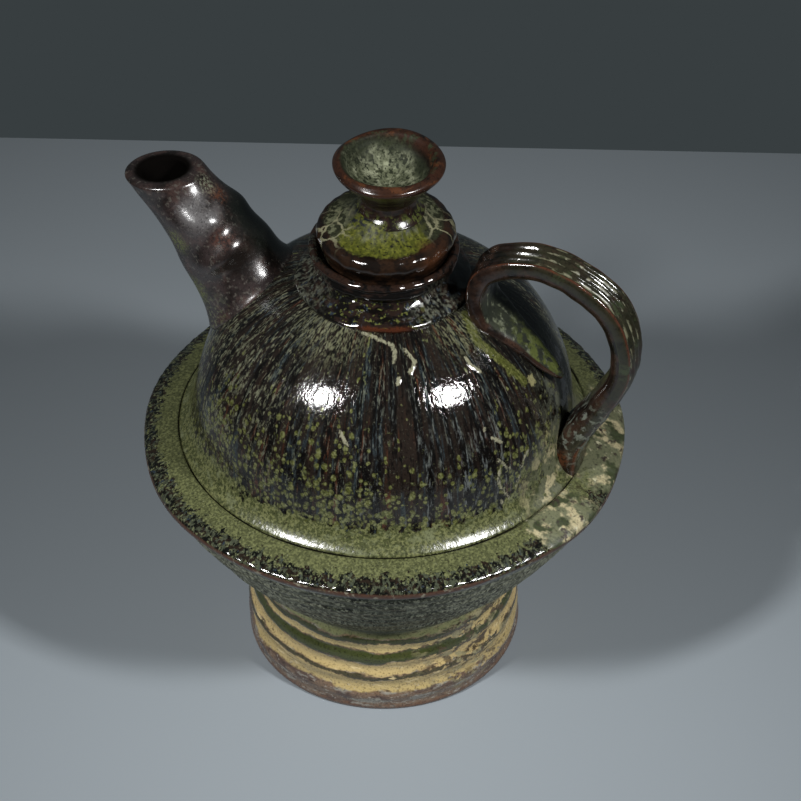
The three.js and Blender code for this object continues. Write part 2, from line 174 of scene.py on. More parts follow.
def ringPoints(angle, height, radius):
    # Points round the axis. With a fixed radius, and the way down the surface as the height, they are the
    # glaze's own places in millimetres, with no seam.
    return np.stack(np.broadcast_arrays(radius * np.cos(angle), radius * np.sin(angle), height), -1)


def turned(outline, sizes, relief, loop):
    # Turns an outline round Z, after moving it along its own normal by the relief. An outline that isn't
    # a loop starts and ends on the axis, where each end becomes a pole.
    line, along = softProfile(outline, sizes, loop)
    ends = None
    if not loop:
        ends = np.array([[0, 0, line[0, 1]], [0, 0, line[-1, 1]]])
        line, along = line[1:-1], along[1:-1]
    angle = np.arange(sizes["columns"])[None, :] * fullTurn / sizes["columns"]
    slope = unit(np.roll(line, -1, 0) - np.roll(line, 1, 0) if loop else np.gradient(line, axis=0))
    x, y = line[:, 0], line[:, 1]
    area = np.sum(x * np.roll(y, -1) - np.roll(x, -1) * y)
    out = np.stack([slope[:, 1], -slope[:, 0]], 1) * np.sign(area)
    lift = relief(angle, along[:, None], x[:, None], y[:, None]) if relief else 0
    grid = ringPoints(angle, y[:, None] + out[:, 1:] * lift, x[:, None] + out[:, :1] * lift)
    return grid, ends, {"flow": ringPoints(angle, along[:, None], sizes["flowRadius"])}


def makePiece(name, grid, ends, fields, body, node, material):
    # Rows are closed rings. The rows either close on themselves too, or each end closes on one point. The
    # sum of the faces' triple products is six times the volume, and its sign shows which way they look.
    rows, columns = grid.shape[:2]
    points = grid.reshape(-1, 3)
    row, column = np.indices((rows if ends is None else rows - 1, columns))
    nextRow, nextColumn = (row + 1) % rows, (column + 1) % columns
    quads = np.stack([row * columns + column, row * columns + nextColumn,
                      nextRow * columns + nextColumn, nextRow * columns + column], -1).reshape(-1, 4)
    a, b, c, d = (points[quads[:, k]] for k in range(4))
    volume = (a * np.cross(b, c)).sum() + (a * np.cross(c, d)).sum()
    faces = quads.tolist()
    if ends is not None:
        j = np.arange(columns)
        first, lastRow = np.full(columns, len(points)), (rows - 1) * columns
        faces += np.stack([first, (j + 1) % columns, j], -1).tolist()
        faces += np.stack([first + 1, lastRow + j, lastRow + (j + 1) % columns], -1).tolist()
        points = np.vstack([points, ends])
    if volume < 0:
        faces = [face[::-1] for face in faces]
    mesh = bpy.data.meshes.new(name)
    mesh.from_pydata((points * mm).tolist(), [], faces)
    mesh.polygons.foreach_set("use_smooth", np.ones(len(faces), bool))
    for key, values in fields.items():
        values = np.broadcast_to(values, (rows, columns) + values.shape[2:])
        flat = values.reshape(rows * columns, -1)
        if ends is not None:
            flat = np.vstack([flat] + [values[k].reshape(columns, -1).mean(0) for k in (0, -1)])
        kind, part = ("FLOAT_VECTOR", "vector") if flat.shape[1] == 3 else ("FLOAT", "value")
        mesh.attributes.new(key, kind, "POINT").data.foreach_set(part, flat.astype(np.float32).ravel())
    mesh.update()
    mesh.validate()
    mesh.materials.append(material)
    piece = bpy.data.objects.new(name, mesh)
    bpy.context.scene.collection.objects.link(piece)
    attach(piece, body)
    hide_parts(node)


# Shader nodes

def linear(code):
    # sRGB hex to linear: c/12.92 below 0.04045, and ((c + 0.055) / 1.055) to the power 2.4 above.
    parts = [int(code[i:i + 2], 16) / 255 for i in (1, 3, 5)]
    return [c / 12.92 if c <= 0.04045 else ((c + 0.055) / 1.055) ** 2.4 for c in parts] + [1.0]


def add(tree, kind, inputs, **settings):
    # Adds a node with its settings, and feeds its inputs from fields, sockets or constants.
    made = tree.nodes.new("ShaderNode" + kind)
    for key, value in settings.items():
        setattr(made, key, value)
    for key, value in inputs.items():
        value = getattr(value, "socket", value)
        if isinstance(value, bpy.types.NodeSocket):
            tree.links.new(value, made.inputs[key])
        else:
            made.inputs[key].default_value = value
    return made


class Field:
    # What the shader knows at each point of a surface: a number, or a place in millimetres. Numbers add
    # and multiply as usual, and a | b is the stronger of two masks.
    def __init__(self, socket):
        self.socket = socket
        self.tree = socket.id_data

    def make(self, kind, output, inputs, **settings):
        # The field that a new node gives at one of its outputs.
        return Field(add(self.tree, kind, inputs, **settings).outputs[output])

    def joined(self, operation, other):
        return self.make("Math", 0, {0: self, 1: other}, operation=operation)

    def __add__(self, other):
        return self.joined("ADD", other)

    def __sub__(self, other):
        return self.joined("SUBTRACT", other)

    def __mul__(self, other):
        return self.joined("MULTIPLY", other)

    def __or__(self, other):
        return self.joined("MAXIMUM", other)

    def __abs__(self):
        return self.joined("ABSOLUTE", 0.0)

    def rise(self, low, high, start=0.0, end=1.0):
        # Goes smoothly from start to end as the number goes from low to high.
        return self.make("MapRange", 0, {"Value": self, "From Min": low, "From Max": high, "To Min": start,
                                         "To Max": end}, interpolation_type="SMOOTHSTEP")

    def spread(self, start, end):
        # Goes straight from start to end as the mask goes from 0 to 1.
        return self.make("MapRange", 0, {"Value": self, "To Min": start, "To Max": end})

    def band(self, low, high, soft):
        # 1 between low and high, with soft edges.
        return self.rise(low - soft, low + soft) * self.rise(high - soft, high + soft, 1.0, 0.0)

    def swing(self, depth):
        # A cloud's value moved to swing round zero.
        return (self - 0.5) * depth

    def sized(self, sizes):
        # The place divided by a feature's size each way. A size of -1 mirrors it, for another pattern.
        sizes = [sizes] * 3 if np.isscalar(sizes) else sizes
        return self.make("VectorMath", 0, {0: self, 1: [1 / s for s in sizes]}, operation="MULTIPLY")

    def cloud(self, sizes, detail=3.0, roughness=0.55, distortion=0.0):
        # Fractal noise with features of the given sizes in millimetres.
        return self.make("TexNoise", "Fac", {"Vector": self.sized(sizes), "Scale": 1.0, "Detail": detail,
                                             "Roughness": roughness, "Distortion": distortion})

    def spots(self, sizes, share, soft=0.05):
        # Ragged blots that spread and join as the share grows: a cloud cut at a level.
        level = 0.6
        return (self.cloud(sizes) + share).rise(level - soft, level + soft)

    def dots(self, sizes, share, ragged):
        # Round crystals, one in each of the cells whose random number is under the share.
        cells = add(self.tree, "TexVoronoi", {"Vector": self.sized(sizes), "Scale": 1.0}).outputs
        chance = self.make("SeparateXYZ", 0, {0: cells["Color"]})
        reach = Field(cells["Distance"]) + ragged.swing(0.5)
        return reach.rise(0.46, 0.22) * (share - chance).rise(-0.02, 0.02)

    def cracks(self, size, width):
        # Thin lines between cells, where the glaze crawled apart. A warp of about 3 mm makes them wander.
        warp = self.make("TexNoise", "Color", {"Vector": self.sized(3), "Scale": 1.0, "Detail": 3.0})
        bent = self.make("VectorMath", 0, {0: warp, 3: 3.0}, operation="SCALE")
        moved = self.make("VectorMath", 0, {0: bent, 1: self}, operation="ADD")
        edges = self.make("TexVoronoi", "Distance", {"Vector": moved.sized(size), "Scale": 1.0},
                          feature="DISTANCE_TO_EDGE")
        return edges.rise(width, width * 0.4)

    def patch(self, centre, inner, outer):
        # 1 near a point and 0 far from it.
        gap = self.make("VectorMath", "Value", {0: self, 1: centre}, operation="DISTANCE")
        return gap.rise(inner, outer, 1.0, 0.0)


# dark pores through every glaze, drawn a few times coarser than real ones so that they show
pores = {"size": 0.7, "color": "#060505", "none": 0.5, "full": 0.34, "strength": 0.55}


class Coat:
    # One glazed surface: the fields that its patterns read, and its colour, laid on in layers.
    def __init__(self, name, ior=1.55):
        self.material = bpy.data.materials.new(name)
        self.material.use_nodes = True
        self.tree = self.material.node_tree
        self.tree.nodes.clear()
        self.ior = ior
        here = Field(add(self.tree, "TexCoord", {}).outputs["Object"])
        self.place = here.make("VectorMath", 0, {0: here, 3: 1 / mm}, operation="SCALE")
        x, y, z = add(self.tree, "SeparateXYZ", {0: self.place}).outputs
        flat = here.make("CombineXYZ", 0, {0: x, 1: y})
        self.z = Field(z)
        self.radius = flat.make("VectorMath", "Value", {0: flat}, operation="LENGTH")
        self.flow = self.read("flow", "Vector")

    def read(self, name, output="Fac"):
        # An attribute of the mesh.
        attribute = add(self.tree, "Attribute", {}, attribute_name=name, attribute_type="GEOMETRY")
        return Field(attribute.outputs[output])

    def base(self, code):
        self.color = linear(code)

    def lay(self, code, mask):
        # The colour laid over what is there, where the mask is 1.
        layers = {0: mask, 6: self.color, 7: linear(code)}
        self.color = add(self.tree, "Mix", layers, data_type="RGBA").outputs[2]

    def finish(self, matt, gloss, dull, bumps, dead=None):
        # matt is the mask of the dry deposit, and roughness goes from gloss to dull with it.
        # dead is the mask of places too dusty to mirror anything, and bumps are (field, depth) pairs.
        grain = self.place.sized((1, 1, -1)).cloud(pores["size"], 3.0, 0.7)
        self.lay(pores["color"], grain.rise(pores["none"], pores["full"]) * pores["strength"])
        inputs = {"IOR": self.ior, "Base Color": self.color, "Roughness": matt.spread(gloss, dull)}
        if dead:
            inputs["Specular IOR Level"] = dead.spread(0.5, 0.0)
        below = {}
        for height, depth in bumps:
            below = {"Height": height, "Strength": 1.0, "Distance": depth * mm, **below}
            below = {"Normal": add(self.tree, "Bump", below).outputs[0]}
        shader = add(self.tree, "BsdfPrincipled", {**inputs, **below})
        add(self.tree, "OutputMaterial", {"Surface": shader.outputs[0]}, target="ALL")
        return self.material


# Sizes that several pieces share

pot = {
    "footRadius": 44.7, "footTop": 42.0, "footHeight": 33.0, "footWall": 6.0, "rollPitch": 7.4,
    "rollDepth": 0.9, "bowlHeight": 46.6, "bowlBelly": 1.8, "bowlWall": 4.5, "bowlFloor": 5.0,
    "brimRadius": 75.0, "lip": 2.4, "brimRise": 3.6, "ledge": 1.2, "incised": 0.7,
    "domeRadius": 58.5, "domeHeight": 55.5, "fullness": 2.15, "domeWall": 4.5, "skirtRadius": 63.4,
    "skirtHeight": 10.8, "domeLift": 5.1, "gap": 0.3,
    "neckBase": 26.4, "neckWaist": 19.7, "neckHeight": 13.7, "throat": 15.5, "gallery": 19.7,
    "galleryDepth": 3.2,
}
lipHeight = pot["footHeight"] + pot["bowlHeight"]
seatHeight = lipHeight + pot["lip"] + pot["brimRise"] - pot["incised"]
domeCentre = seatHeight + pot["domeLift"]


def domeShare(share):
    # The dome's outline is a fuller ellipse: the powers of its shares of radius and height add up to 1.
    return np.maximum(0.0, 1 - np.abs(share) ** pot["fullness"]) ** (1 / pot["fullness"])


def domeSpots(angles, radius, height):
    # Points of that outline, each a circle's point pushed out until the powers add up to 1.
    across, up = np.cos(angles), np.sin(angles)
    push = (across ** pot["fullness"] + up ** pot["fullness"]) ** (-1 / pot["fullness"])
    return np.column_stack([radius * across * push, domeCentre + height * up * push])


def domeReach(r, z, radius, height):
    # 1 on such an outline, less inside it and more outside.
    high = np.maximum(z - domeCentre, 0) / height
    return ((r / radius) ** pot["fullness"] + high ** pot["fullness"]) ** (1 / pot["fullness"])


neckFoot = domeCentre + pot["domeHeight"] * float(domeShare(pot["neckBase"] / pot["domeRadius"]))
gallerySeat = neckFoot + pot["neckHeight"] - pot["galleryDepth"]


# Foot: a turned ring whose outer side carries throwing rolls that climb a little as they go round.

foot = {
    "columns": 300, "softness": 0.45, "seen": 0.55, "hidden": 2.5, "flowRadius": 44.0, "climb": 0.9,
    "wander": (0.125, (2, 9), (9, 40), 16, 3),
    # colour, lowest and highest millimetre and softness of each band of glaze between the rolls
    "bands": [("#9d8b5e", 8.6, 13.4, 0.45), ("#3a3520", 13.6, 15.0, 0.3), ("#a79364", 15.4, 20.2, 0.4),
              ("#34391c", 20.6, 24.3, 0.35), ("#a39162", 24.7, 27.3, 0.3), ("#2c2f17", 27.5, 29.3, 0.3),
              ("#626446", 29.7, 34.0, 0.5)],
}


def footProfile():
    # A cone outside, and a recess inside that widens towards the bottom.
    top, bottom, height = pot["footTop"], pot["footRadius"], pot["footHeight"]
    inside = top - pot["footWall"]
    z = np.linspace(1.2, height, 60)
    outer = np.column_stack([bottom + (top - bottom) * z / height - pot["rollDepth"], z])
    inner = bendLine([inside + 0.4, height * 0.75], [inside + 0.8, height * 0.3], [inside + 2.6, 0], 12)
    return [("seen", [[bottom - 1.2, 0]]), ("seen", outer), ("hidden", [[inside, height]]), ("hidden", inner)]


def footRelief(angle, along, r, z):
    # Rolls are a raised cosine of height, its phase shifted round the turn, plus a slow wander.
    face = ease(0.6, 2.5, z) * ease(pot["footTop"] - pot["footWall"] + 3, pot["footTop"] - 2, r)
    phase = fullTurn * (pot["footHeight"] - z + foot["climb"] * np.sin(angle + 0.7)) / pot["rollPitch"]
    wave = (1 - np.cos(phase + 0.35 * np.sin(2 * angle))) / 2
    return face * (pot["rollDepth"] * wave + ripple(angle, along, foot["wander"]))


def footCoat():
    # Ash glaze in soft bands between the rolls: straw yellow with olive lines, over brown clay that shows
    # where the glaze ran thin at the foot.
    coat = Coat("ash_glaze_over_thrown_stoneware")
    flow, place = coat.flow, coat.place
    wobble = flow.cloud((30, 30, 12), 3.0, 0.5, 0.8)
    ragged = flow.cloud((3, 3, 1.6), 5.0, 0.65)
    fleck = flow.cloud((1.8, 1.8, 1.2), 4.0, 0.7)
    side = place.patch((42, -22, 24), 8, 32)
    level = coat.z + wobble.swing(7.0) + ragged.swing(side * 7.0 + 2.4)
    coat.base("#614f40")
    coat.lay("#4a3a32", flow.spots((9, 9, 3), 0.06))
    coat.lay("#77736a", flow.spots((8, 8, 2.4), 0.02))
    for code, low, high, soft in foot["bands"]:
        coat.lay(code, level.band(low, high, soft))
    coat.lay("#b9a77c", level.band(9.0, 20.0, 1.0) * flow.spots((6, 6, 1.6), -0.04))
    coat.lay("#463a2a", side * place.spots((4, 4, 2.2), 0.06))
    coat.lay("#80795a", side * place.spots((5, 5, 3), 0.02))
    coat.lay("#241d14", flow.spots((4, 4, 1.0), -0.1))
    coat.lay("#8b867c", coat.z.rise(14.0, 6.0) * fleck.rise(0.56, 0.66) * 0.7)
    coat.lay("#5a402e", (coat.z + ragged.swing(4.0)).rise(2.6, 1.2))
    return coat.finish(fleck.rise(0.5, 0.72), 0.12, 0.38, [(wobble, 0.35), (ragged, 0.12), (fleck, 0.03)])


grid, ends, fields = turned(footProfile(), foot, footRelief, True)
makePiece("foot_ring_glazed", grid, ends, fields, "pot", "foot_ring", footCoat())
print("foot made")


# Bowl: one turned outline from the pole under the floor, out to the sharp brim and back inside.

bowl = {
    "columns": 420, "softness": 0.28, "seen": 0.6, "side": 1.1, "edge": 0.4, "hidden": 3.0,
    "flowRadius": 70.0, "rings": (0.12, (2, 12), (8, 30), 14, 5),
    "rim": (0.175, (2, 9), (5, 6), 12, 8), "runs": (0.1, (60, 150), (8, 20), 24, 6),
}


def bowlProfile():
    # The bellied side and the sharp lip, the brim's top down to the groove, and the inner side one wall
    # away along the outer side's normal.
    brim, skirt = pot["brimRadius"], pot["skirtRadius"] + pot["gap"]
    start = np.array([pot["footTop"], pot["footHeight"]])
    end = np.array([brim - 1.6, lipHeight - pot["ledge"]])
    outwards = unit(np.array([end[1] - start[1], start[0] - end[0]]))
    side = bendLine(start, (start + end) / 2 + outwards * 2 * pot["bowlBelly"], end, 40)
    lip = [[brim - 1.1, lipHeight - pot["ledge"] * 0.3], [brim - 0.3, lipHeight],
           [brim, lipHeight + pot["lip"] * 0.5]]
    top = bendLine([brim - 0.5, lipHeight + pot["lip"]],
                   [brim - 4.6, lipHeight + pot["lip"] + pot["brimRise"] * 0.72],
                   [skirt, seatHeight + pot["incised"]], 24)
    slope = unit(np.gradient(side, axis=0))
    inner = side + np.column_stack([-slope[:, 1], slope[:, 0]]) * pot["bowlWall"]
    floor, shelf = pot["footHeight"] + pot["bowlFloor"], seatHeight - pot["bowlWall"]
    inner = inner[(inner[:, 1] > floor + 0.6) & (inner[:, 1] < shelf - 3)]
    seat = pot["domeRadius"] - pot["domeWall"]
    widest, highest = inner[-1]
    roof = bendLine([widest - 4, shelf], [widest + 1, shelf - 0.4], [widest, highest], 8)
    base = [[0, pot["footHeight"]], [pot["footTop"] - 1, pot["footHeight"]]]
    return [("hidden", base), ("side", side), ("edge", lip), ("seen", top), ("seen", [[skirt, seatHeight]]),
            ("hidden", [[seat, seatHeight], [seat, shelf]]), ("hidden", roof), ("hidden", inner[::-1]),
            ("hidden", [[inner[0, 0] - 3, floor], [0, floor]])]


def bowlRelief(angle, along, r, z):
    # Throwing lines under the bowl, a slow wander of the brim's edge, and short radial runs on its top.
    under = ease(pot["footTop"] + 3, pot["footTop"] + 10, r) * ease(lipHeight, lipHeight - 4, z)
    edge = bell(r, pot["brimRadius"], 3.0) * ease(lipHeight - 2, lipHeight, z)
    top = ease(66.5, 68.5, r) * ease(lipHeight + 1.4, lipHeight + 2.6, z)
    thrown = 0.22 * np.sin(fullTurn * z / 5.2 + 0.5 * np.sin(angle)) + ripple(angle, along, bowl["rings"])
    wander = ripple(angle, along * 0, bowl["rim"])
    return under * thrown + edge * wander + top * ripple(angle, along, bowl["runs"])


def bowlCoat():
    # Iron glaze that pools olive in the groove, breaks into dark teeth over the brim and burns rusty at
    # its edge. Under the brim it is thin and dusted with grey-green ash.
    coat = Coat("iron_glaze_on_brim")
    flow, place = coat.flow, coat.place
    teeth = flow.cloud((2.4, 2.4, 9), 3.0, 0.6)
    slow = flow.cloud(24, 3.0)
    grit = flow.cloud((0.9, 0.9, 0.8), 5.0, 0.75)
    top = coat.z.rise(lipHeight + 0.4, lipHeight + 2.0)
    coat.base("#0b0b09")
    coat.lay("#1f1812", flow.spots((3, 3, 2.2), 0.08))
    coat.lay("#3a3e31", flow.spots((1.1, 1.1, 1.6), 0.06))
    coat.lay("#5b5f45", flow.sized((-1, 1, 1)).spots((1.0, 1.0, 1.3), -0.02))
    coat.lay("#232b33", flow.sized((1, -1, 1)).spots((1.5, 1.5, 2.0), -0.06))
    under = coat.z.rise(lipHeight - 0.3, lipHeight - 2.5)
    coat.lay("#4b4d3f", under * flow.spots((5, 5, 4), 0.12, 0.08))
    coat.lay("#7d7f6e", under * flow.spots((1.1, 1.1, 1.8), 0.08))
    coat.lay("#a5a795", under * grit.rise(0.56, 0.66))
    coat.lay("#0c0d0b", under * grit.rise(0.44, 0.36))
    # olive share: none at the rim, more and more of it towards the groove
    share = (coat.radius + teeth.swing(7.0)).rise(72.6, 67.4) * 0.36 - 0.06
    olive = top * flow.spots((1.5, 1.5, 1.6), share, 0.04)
    coat.lay("#40432a", olive)
    coat.lay("#5a5d3c", olive * flow.spots(0.8, 0.08, 0.08))
    coat.lay("#6a6d52", olive * grit.rise(0.58, 0.7))
    coat.lay("#1a1c12", olive * grit.rise(0.42, 0.34) * 0.8)
    groove = top * (coat.radius + grit.swing(0.9)).rise(64.1, 63.8)
    coat.lay("#1a1a10", groove * slow.rise(0.3, 0.5))
    rim = (coat.radius + grit.swing(1.8)).rise(74.2, 74.6)
    rim = rim * coat.z.band(lipHeight - 0.2, lipHeight + 1.9, 0.3)
    coat.lay("#3d281d", rim * slow.rise(0.3, 0.5))
    coat.lay("#6a6658", rim * flow.spots((2.4, 2.4, 2.0), -0.02))
    # pale crust of ash beside the handle
    ash = (place.patch((66, -25, 84), 4, 22) | place.patch((68, 14, 84), 8, 38)) * top
    lump = place.cloud(5, 6.0, 0.7)
    crust = (ash * 0.5 + lump * 0.9).rise(0.66, 0.82)
    coat.lay("#55573f", crust)
    coat.lay("#958c6c", crust * place.spots((6, 6, 4), 0.06, 0.05))
    coat.lay("#9a977c", crust * place.spots(3, -0.06))
    coat.lay("#2a3117", crust * place.sized((-1, 1, 1)).spots(6, 0.04, 0.05))
    coat.lay("#22170f", ash * place.sized((1, -1, 1)).spots(3, -0.02))
    coat.lay("#6b3d1c", ash * place.sized((-1, -1, 1)).spots(4, -0.14))
    matt = crust * 0.9 | olive * 0.35 | under * 0.5 | rim * 0.6
    bumps = [(teeth, 0.05), (lump * (ash + 0.3), 0.3), (grit, 0.035)]
    return coat.finish(matt, 0.1, 0.6, bumps, under * 0.95)


grid, ends, fields = turned(bowlProfile(), bowl, bowlRelief, False)
makePiece("bowl_and_brim", grid, ends, fields, "pot", "lower_bowl", bowlCoat())
print("bowl made")


# Dome: a full round outline that flares to the incised line, with runs of glaze down its meridians.

dome = {
    "columns": 560, "softness": 0.3, "seen": 0.72, "hidden": 3.0, "flowRadius": 55.0,
    "runs": [(0.008, (70, 170), (25, 90), 40, 11), (0.0048, (25, 60), (30, 120), 20, 12)],
    "wander": (0.15, (2, 6), (30, 90), 10, 13),
    # compass angle in degrees and height of points along the pale runs of ash
    "drips": [
        [(-84.3, 140.4), (-78.7, 140.2), (-72.2, 139.6), (-66.6, 139.0), (-65.2, 137.9), (-66.1, 136.4)],
        [(-64.4, 133.6), (-65.1, 132.5)],
        [(-85.7, 121.3), (-84.5, 120.0), (-82.9, 118.6)],
        [(-34.1, 107.7), (-32.9, 106.2), (-30.7, 103.1)],
        [(-34.2, 104.7), (-35.4, 101.4), (-34.2, 98.0), (-32.0, 94.1), (-29.5, 89.5)],
        [(-34.3, 93.5), (-34.0, 91.9)],
        [(-22.4, 105.2), (-24.6, 103.7), (-25.8, 101.6)],
        [(-27.4, 98.8), (-28.9, 95.5)],
        [(-36.4, 118.0), (-36.4, 117.5)],
        [(-34.5, 114.6), (-31.6, 112.3)],
        [(-59.8, 138.1), (-56.0, 136.0), (-59.2, 134.4)],
        [(-32.1, 134.0), (-31.7, 132.5), (-29.1, 130.4)],
    ],
    "dripWidth": 0.6, "dripHeight": 0.25, "dripColourWidth": 0.85,
    # the olive glaze that gathered along the leaf, and how wide and high it lies
    "pool": [[(-15.0, 139.3), (-19.5, 137.6), (-21.8, 135.0), (-19.7, 132.4), (-17.5, 129.4), (-15.6, 126.2),
              (-13.5, 122.5)]],
    "poolWidth": 2.1, "poolHeight": 0.5,
}


def domeProfile():
    # The flaring skirt, the dome's outline up to the neck, and the same outline one wall smaller inside.
    flare = math.asin((pot["skirtHeight"] - pot["domeLift"]) / pot["domeHeight"])
    neckShare = pot["neckBase"] / pot["domeRadius"]
    outer = domeSpots(np.linspace(flare, math.atan2(domeShare(neckShare), neckShare), 80),
                      pot["domeRadius"], pot["domeHeight"])
    skirt = bendLine([pot["skirtRadius"], seatHeight + 0.9],
                     [pot["domeRadius"] + 0.8, seatHeight + pot["skirtHeight"] * 0.35], outer[0], 20)
    inRadius, inHeight = pot["domeRadius"] - pot["domeWall"], pot["domeHeight"] - pot["domeWall"]
    throatShare = pot["throat"] / inRadius
    inside = domeSpots(np.linspace(math.atan2(domeShare(throatShare), throatShare), 0, 30),
                       inRadius, inHeight)
    return [("seen", [[pot["skirtRadius"], seatHeight]]), ("seen", skirt[:-1]), ("seen", outer),
            ("hidden", [[pot["throat"], neckFoot]]), ("hidden", inside), ("hidden", [[inRadius, seatHeight]])]


def domeMarks(points, kind, width):
    # 1 on the drips or the pool, falling away as a bell of the distance to their lines.
    paths = []
    for path in dome[kind]:
        azimuth, height = np.radians([a for a, _ in path]), np.array([h for _, h in path])
        reach = pot["domeRadius"] * domeShare((height - domeCentre) / pot["domeHeight"])
        paths.append(ringPoints(azimuth, height, reach))
    return bell(nearLines(points, paths), 0, width)


def domeRelief(angle, along, r, z):
    # Fine runs down the meridians plus a slow wander, and pale drips and a pool that stand proud. Only the
    # outer face has them: it is found by how far the point is from the middle of the wall.
    middle = pot["domeWall"] / 2
    outer = ease(0.99, 1.02, domeReach(r, z, pot["domeRadius"] - middle, pot["domeHeight"] - middle))
    place = ringPoints(angle, z, r)
    drips = dome["dripHeight"] * domeMarks(place, "drips", dome["dripWidth"])
    pool = dome["poolHeight"] * domeMarks(place, "pool", dome["poolWidth"])
    return outer * (ripple(angle, along, *dome["runs"], dome["wander"]) + drips + pool)


def domeCoat():
    # Iron glaze, almost black, that ran down in short strokes and let olive crystals and blue-grey flecks
    # grow in it.
    coat = Coat("running_iron_glaze")
    flow, place = coat.flow, coat.place
    other, third = flow.sized((-1, 1, -1)), flow.sized((1, -1, -1))
    wide = flow.cloud((3.0, 3.0, 40), 2.0)
    strand = other.cloud((2.4, 2.4, 26), 3.0)
    stroke = flow.cloud((1.1, 1.1, 4.5), 4.0, 0.65)
    grit = flow.cloud((0.8, 0.8, 1.1), 5.0, 0.75)
    crinkle = flow.cloud((1.4, 1.4, 2.2), 2.0, 0.6)
    slow = flow.cloud((18, 18, 22), 3.0)
    haze = (place.patch((-42, -28, 120), 12, 58) | place.patch((-10, -24, 142), 2, 26)
            | place.patch((34, 34, 116), 12, 50))
    dusty = haze * flow.cloud((6, 6, 9), 4.0, 0.6).rise(0.28, 0.56)
    blue = place.patch((34, -44, 108), 6, 40)
    coat.base("#090706")
    coat.lay("#1c1612", wide.rise(0.44, 0.6))
    coat.lay("#3a2014", strand.rise(0.56, 0.66) * stroke.rise(0.44, 0.58) * slow.rise(0.36, 0.56))
    coat.lay("#1f2629", strand.rise(0.46, 0.38) * stroke.rise(0.4, 0.6))
    coat.lay("#55584b", stroke.rise(0.55, 0.7) * wide.rise(0.6, 0.42) * 0.85)
    coat.lay("#4d5152", blue * stroke.rise(0.5, 0.66) * wide.rise(0.56, 0.4) * 0.8)
    coat.lay("#5a5b4e", grit.rise(0.57, 0.7) * slow.rise(0.3, 0.6) * 0.75)
    coat.lay("#040303", stroke.rise(0.44, 0.34) * 0.8)
    # grey ash haze on the side of the spout
    fine = other.spots((1.0, 1.0, 2.0), dusty * 0.2 - 0.16, 0.12)
    coat.lay("#5d5e4c", fine)
    coat.lay("#85846f", fine * grit.rise(0.56, 0.68))
    # olive crystals stand in columns, and join into the pool at the dome's foot
    share = coat.z.rise(130.0, 92.0) * 0.11 + coat.z.rise(95.5, 87.5) * 0.36
    share = share + wide.swing(0.26) + slow.swing(0.22) - (blue * 0.04 + 0.11)
    pools = flow.spots((2.2, 2.2, 2.4), share, 0.06)
    chance = coat.z.rise(138.0, 96.0) * 0.95 + wide.swing(1.4) + slow.swing(1.6) - (blue * 0.3 + 0.2)
    dotted = flow.dots((2.5, 2.5, 2.9), chance, grit) | other.dots((1.7, 1.7, 2.0), chance, grit)
    crystal = pools | dotted
    coat.lay("#42451f", dotted * 0.9)
    coat.lay("#383c22", pools)
    coat.lay("#5c5e3c", crystal * other.spots((0.9, 0.9, 1.0), 0.08, 0.08))
    coat.lay("#5c6045", pools * third.spots((3.5, 3.5, 2.4), 0.0, 0.1))
    coat.lay("#6a6c50", crystal * grit.rise(0.56, 0.7) * 0.8)
    coat.lay("#191a11", crystal * grit.rise(0.42, 0.34) * 0.85)
    coat.lay("#14140e", (coat.z + grit.swing(1.6)).rise(85.8, 85.3) * slow.rise(0.34, 0.5))
    mossy = (coat.read("pool") + grit.swing(1.1)).rise(0.4, 0.75)
    coat.lay("#3d401d", mossy)
    coat.lay("#62633c", mossy * grit.rise(0.5, 0.66))
    # cream dots and dry ash by the handle, ash round the neck, and a heap of it at the dome's foot
    cream = place.patch((49.5, -8.5, 121), 0.4, 3.8)
    cream = cream | place.patch((57, -10, 99), 3, 12) * place.spots((2.6, 2.6, 6), 0.06)
    coat.lay("#827d58", (cream + grit.swing(1.8)).rise(0.55, 0.85))
    lump = place.cloud(5, 6.0, 0.65)
    dry = place.patch((58, 10, 104), 8, 32) * lump.rise(0.4, 0.56)
    coat.lay("#4a4c40", dry)
    crown = place.patch((-6, -27, 140), 3, 16) | place.patch((28, -14, 138), 2, 12)
    crown = crown * flow.spots((1.1, 1.1, 1.8), 0.04, 0.12)
    coat.lay("#62634c", crown * 0.85)
    heap = place.patch((59, -14, 88), 5, 20) * lump.rise(0.36, 0.52)
    coat.lay("#4d4f3a", heap)
    coat.lay("#8f8768", heap * place.spots(4, 0.04))
    coat.lay("#272d16", heap * place.sized((-1, 1, 1)).spots(4, 0.03))
    coat.lay("#777561", (coat.read("drip") + grit.swing(1.9)).rise(0.5, 0.8))
    matt = dusty * 0.4 | dry | heap | pools * 0.4 | crown * 0.4
    return coat.finish(matt, 0.07, 0.5, [(crinkle, 0.13), (grit, 0.03)])


grid, ends, fields = turned(domeProfile(), dome, domeRelief, True)
fields["drip"] = domeMarks(grid, "drips", dome["dripColourWidth"])
fields["pool"] = domeMarks(grid, "pool", dome["poolWidth"])
makePiece("dome_with_runs", grid, ends, fields, "pot", "dome_shell", domeCoat())
print("dome made")


# Neck: the waist, two rings and the gallery for the lid.

neck = {"columns": 240, "softness": 0.3, "seen": 0.35, "hidden": 1.5, "flowRadius": 21.0,
        "wander": [(0.16, (2, 7), (6, 20), 12, 21), (0.05, (12, 40), (4, 12), 20, 22)]}


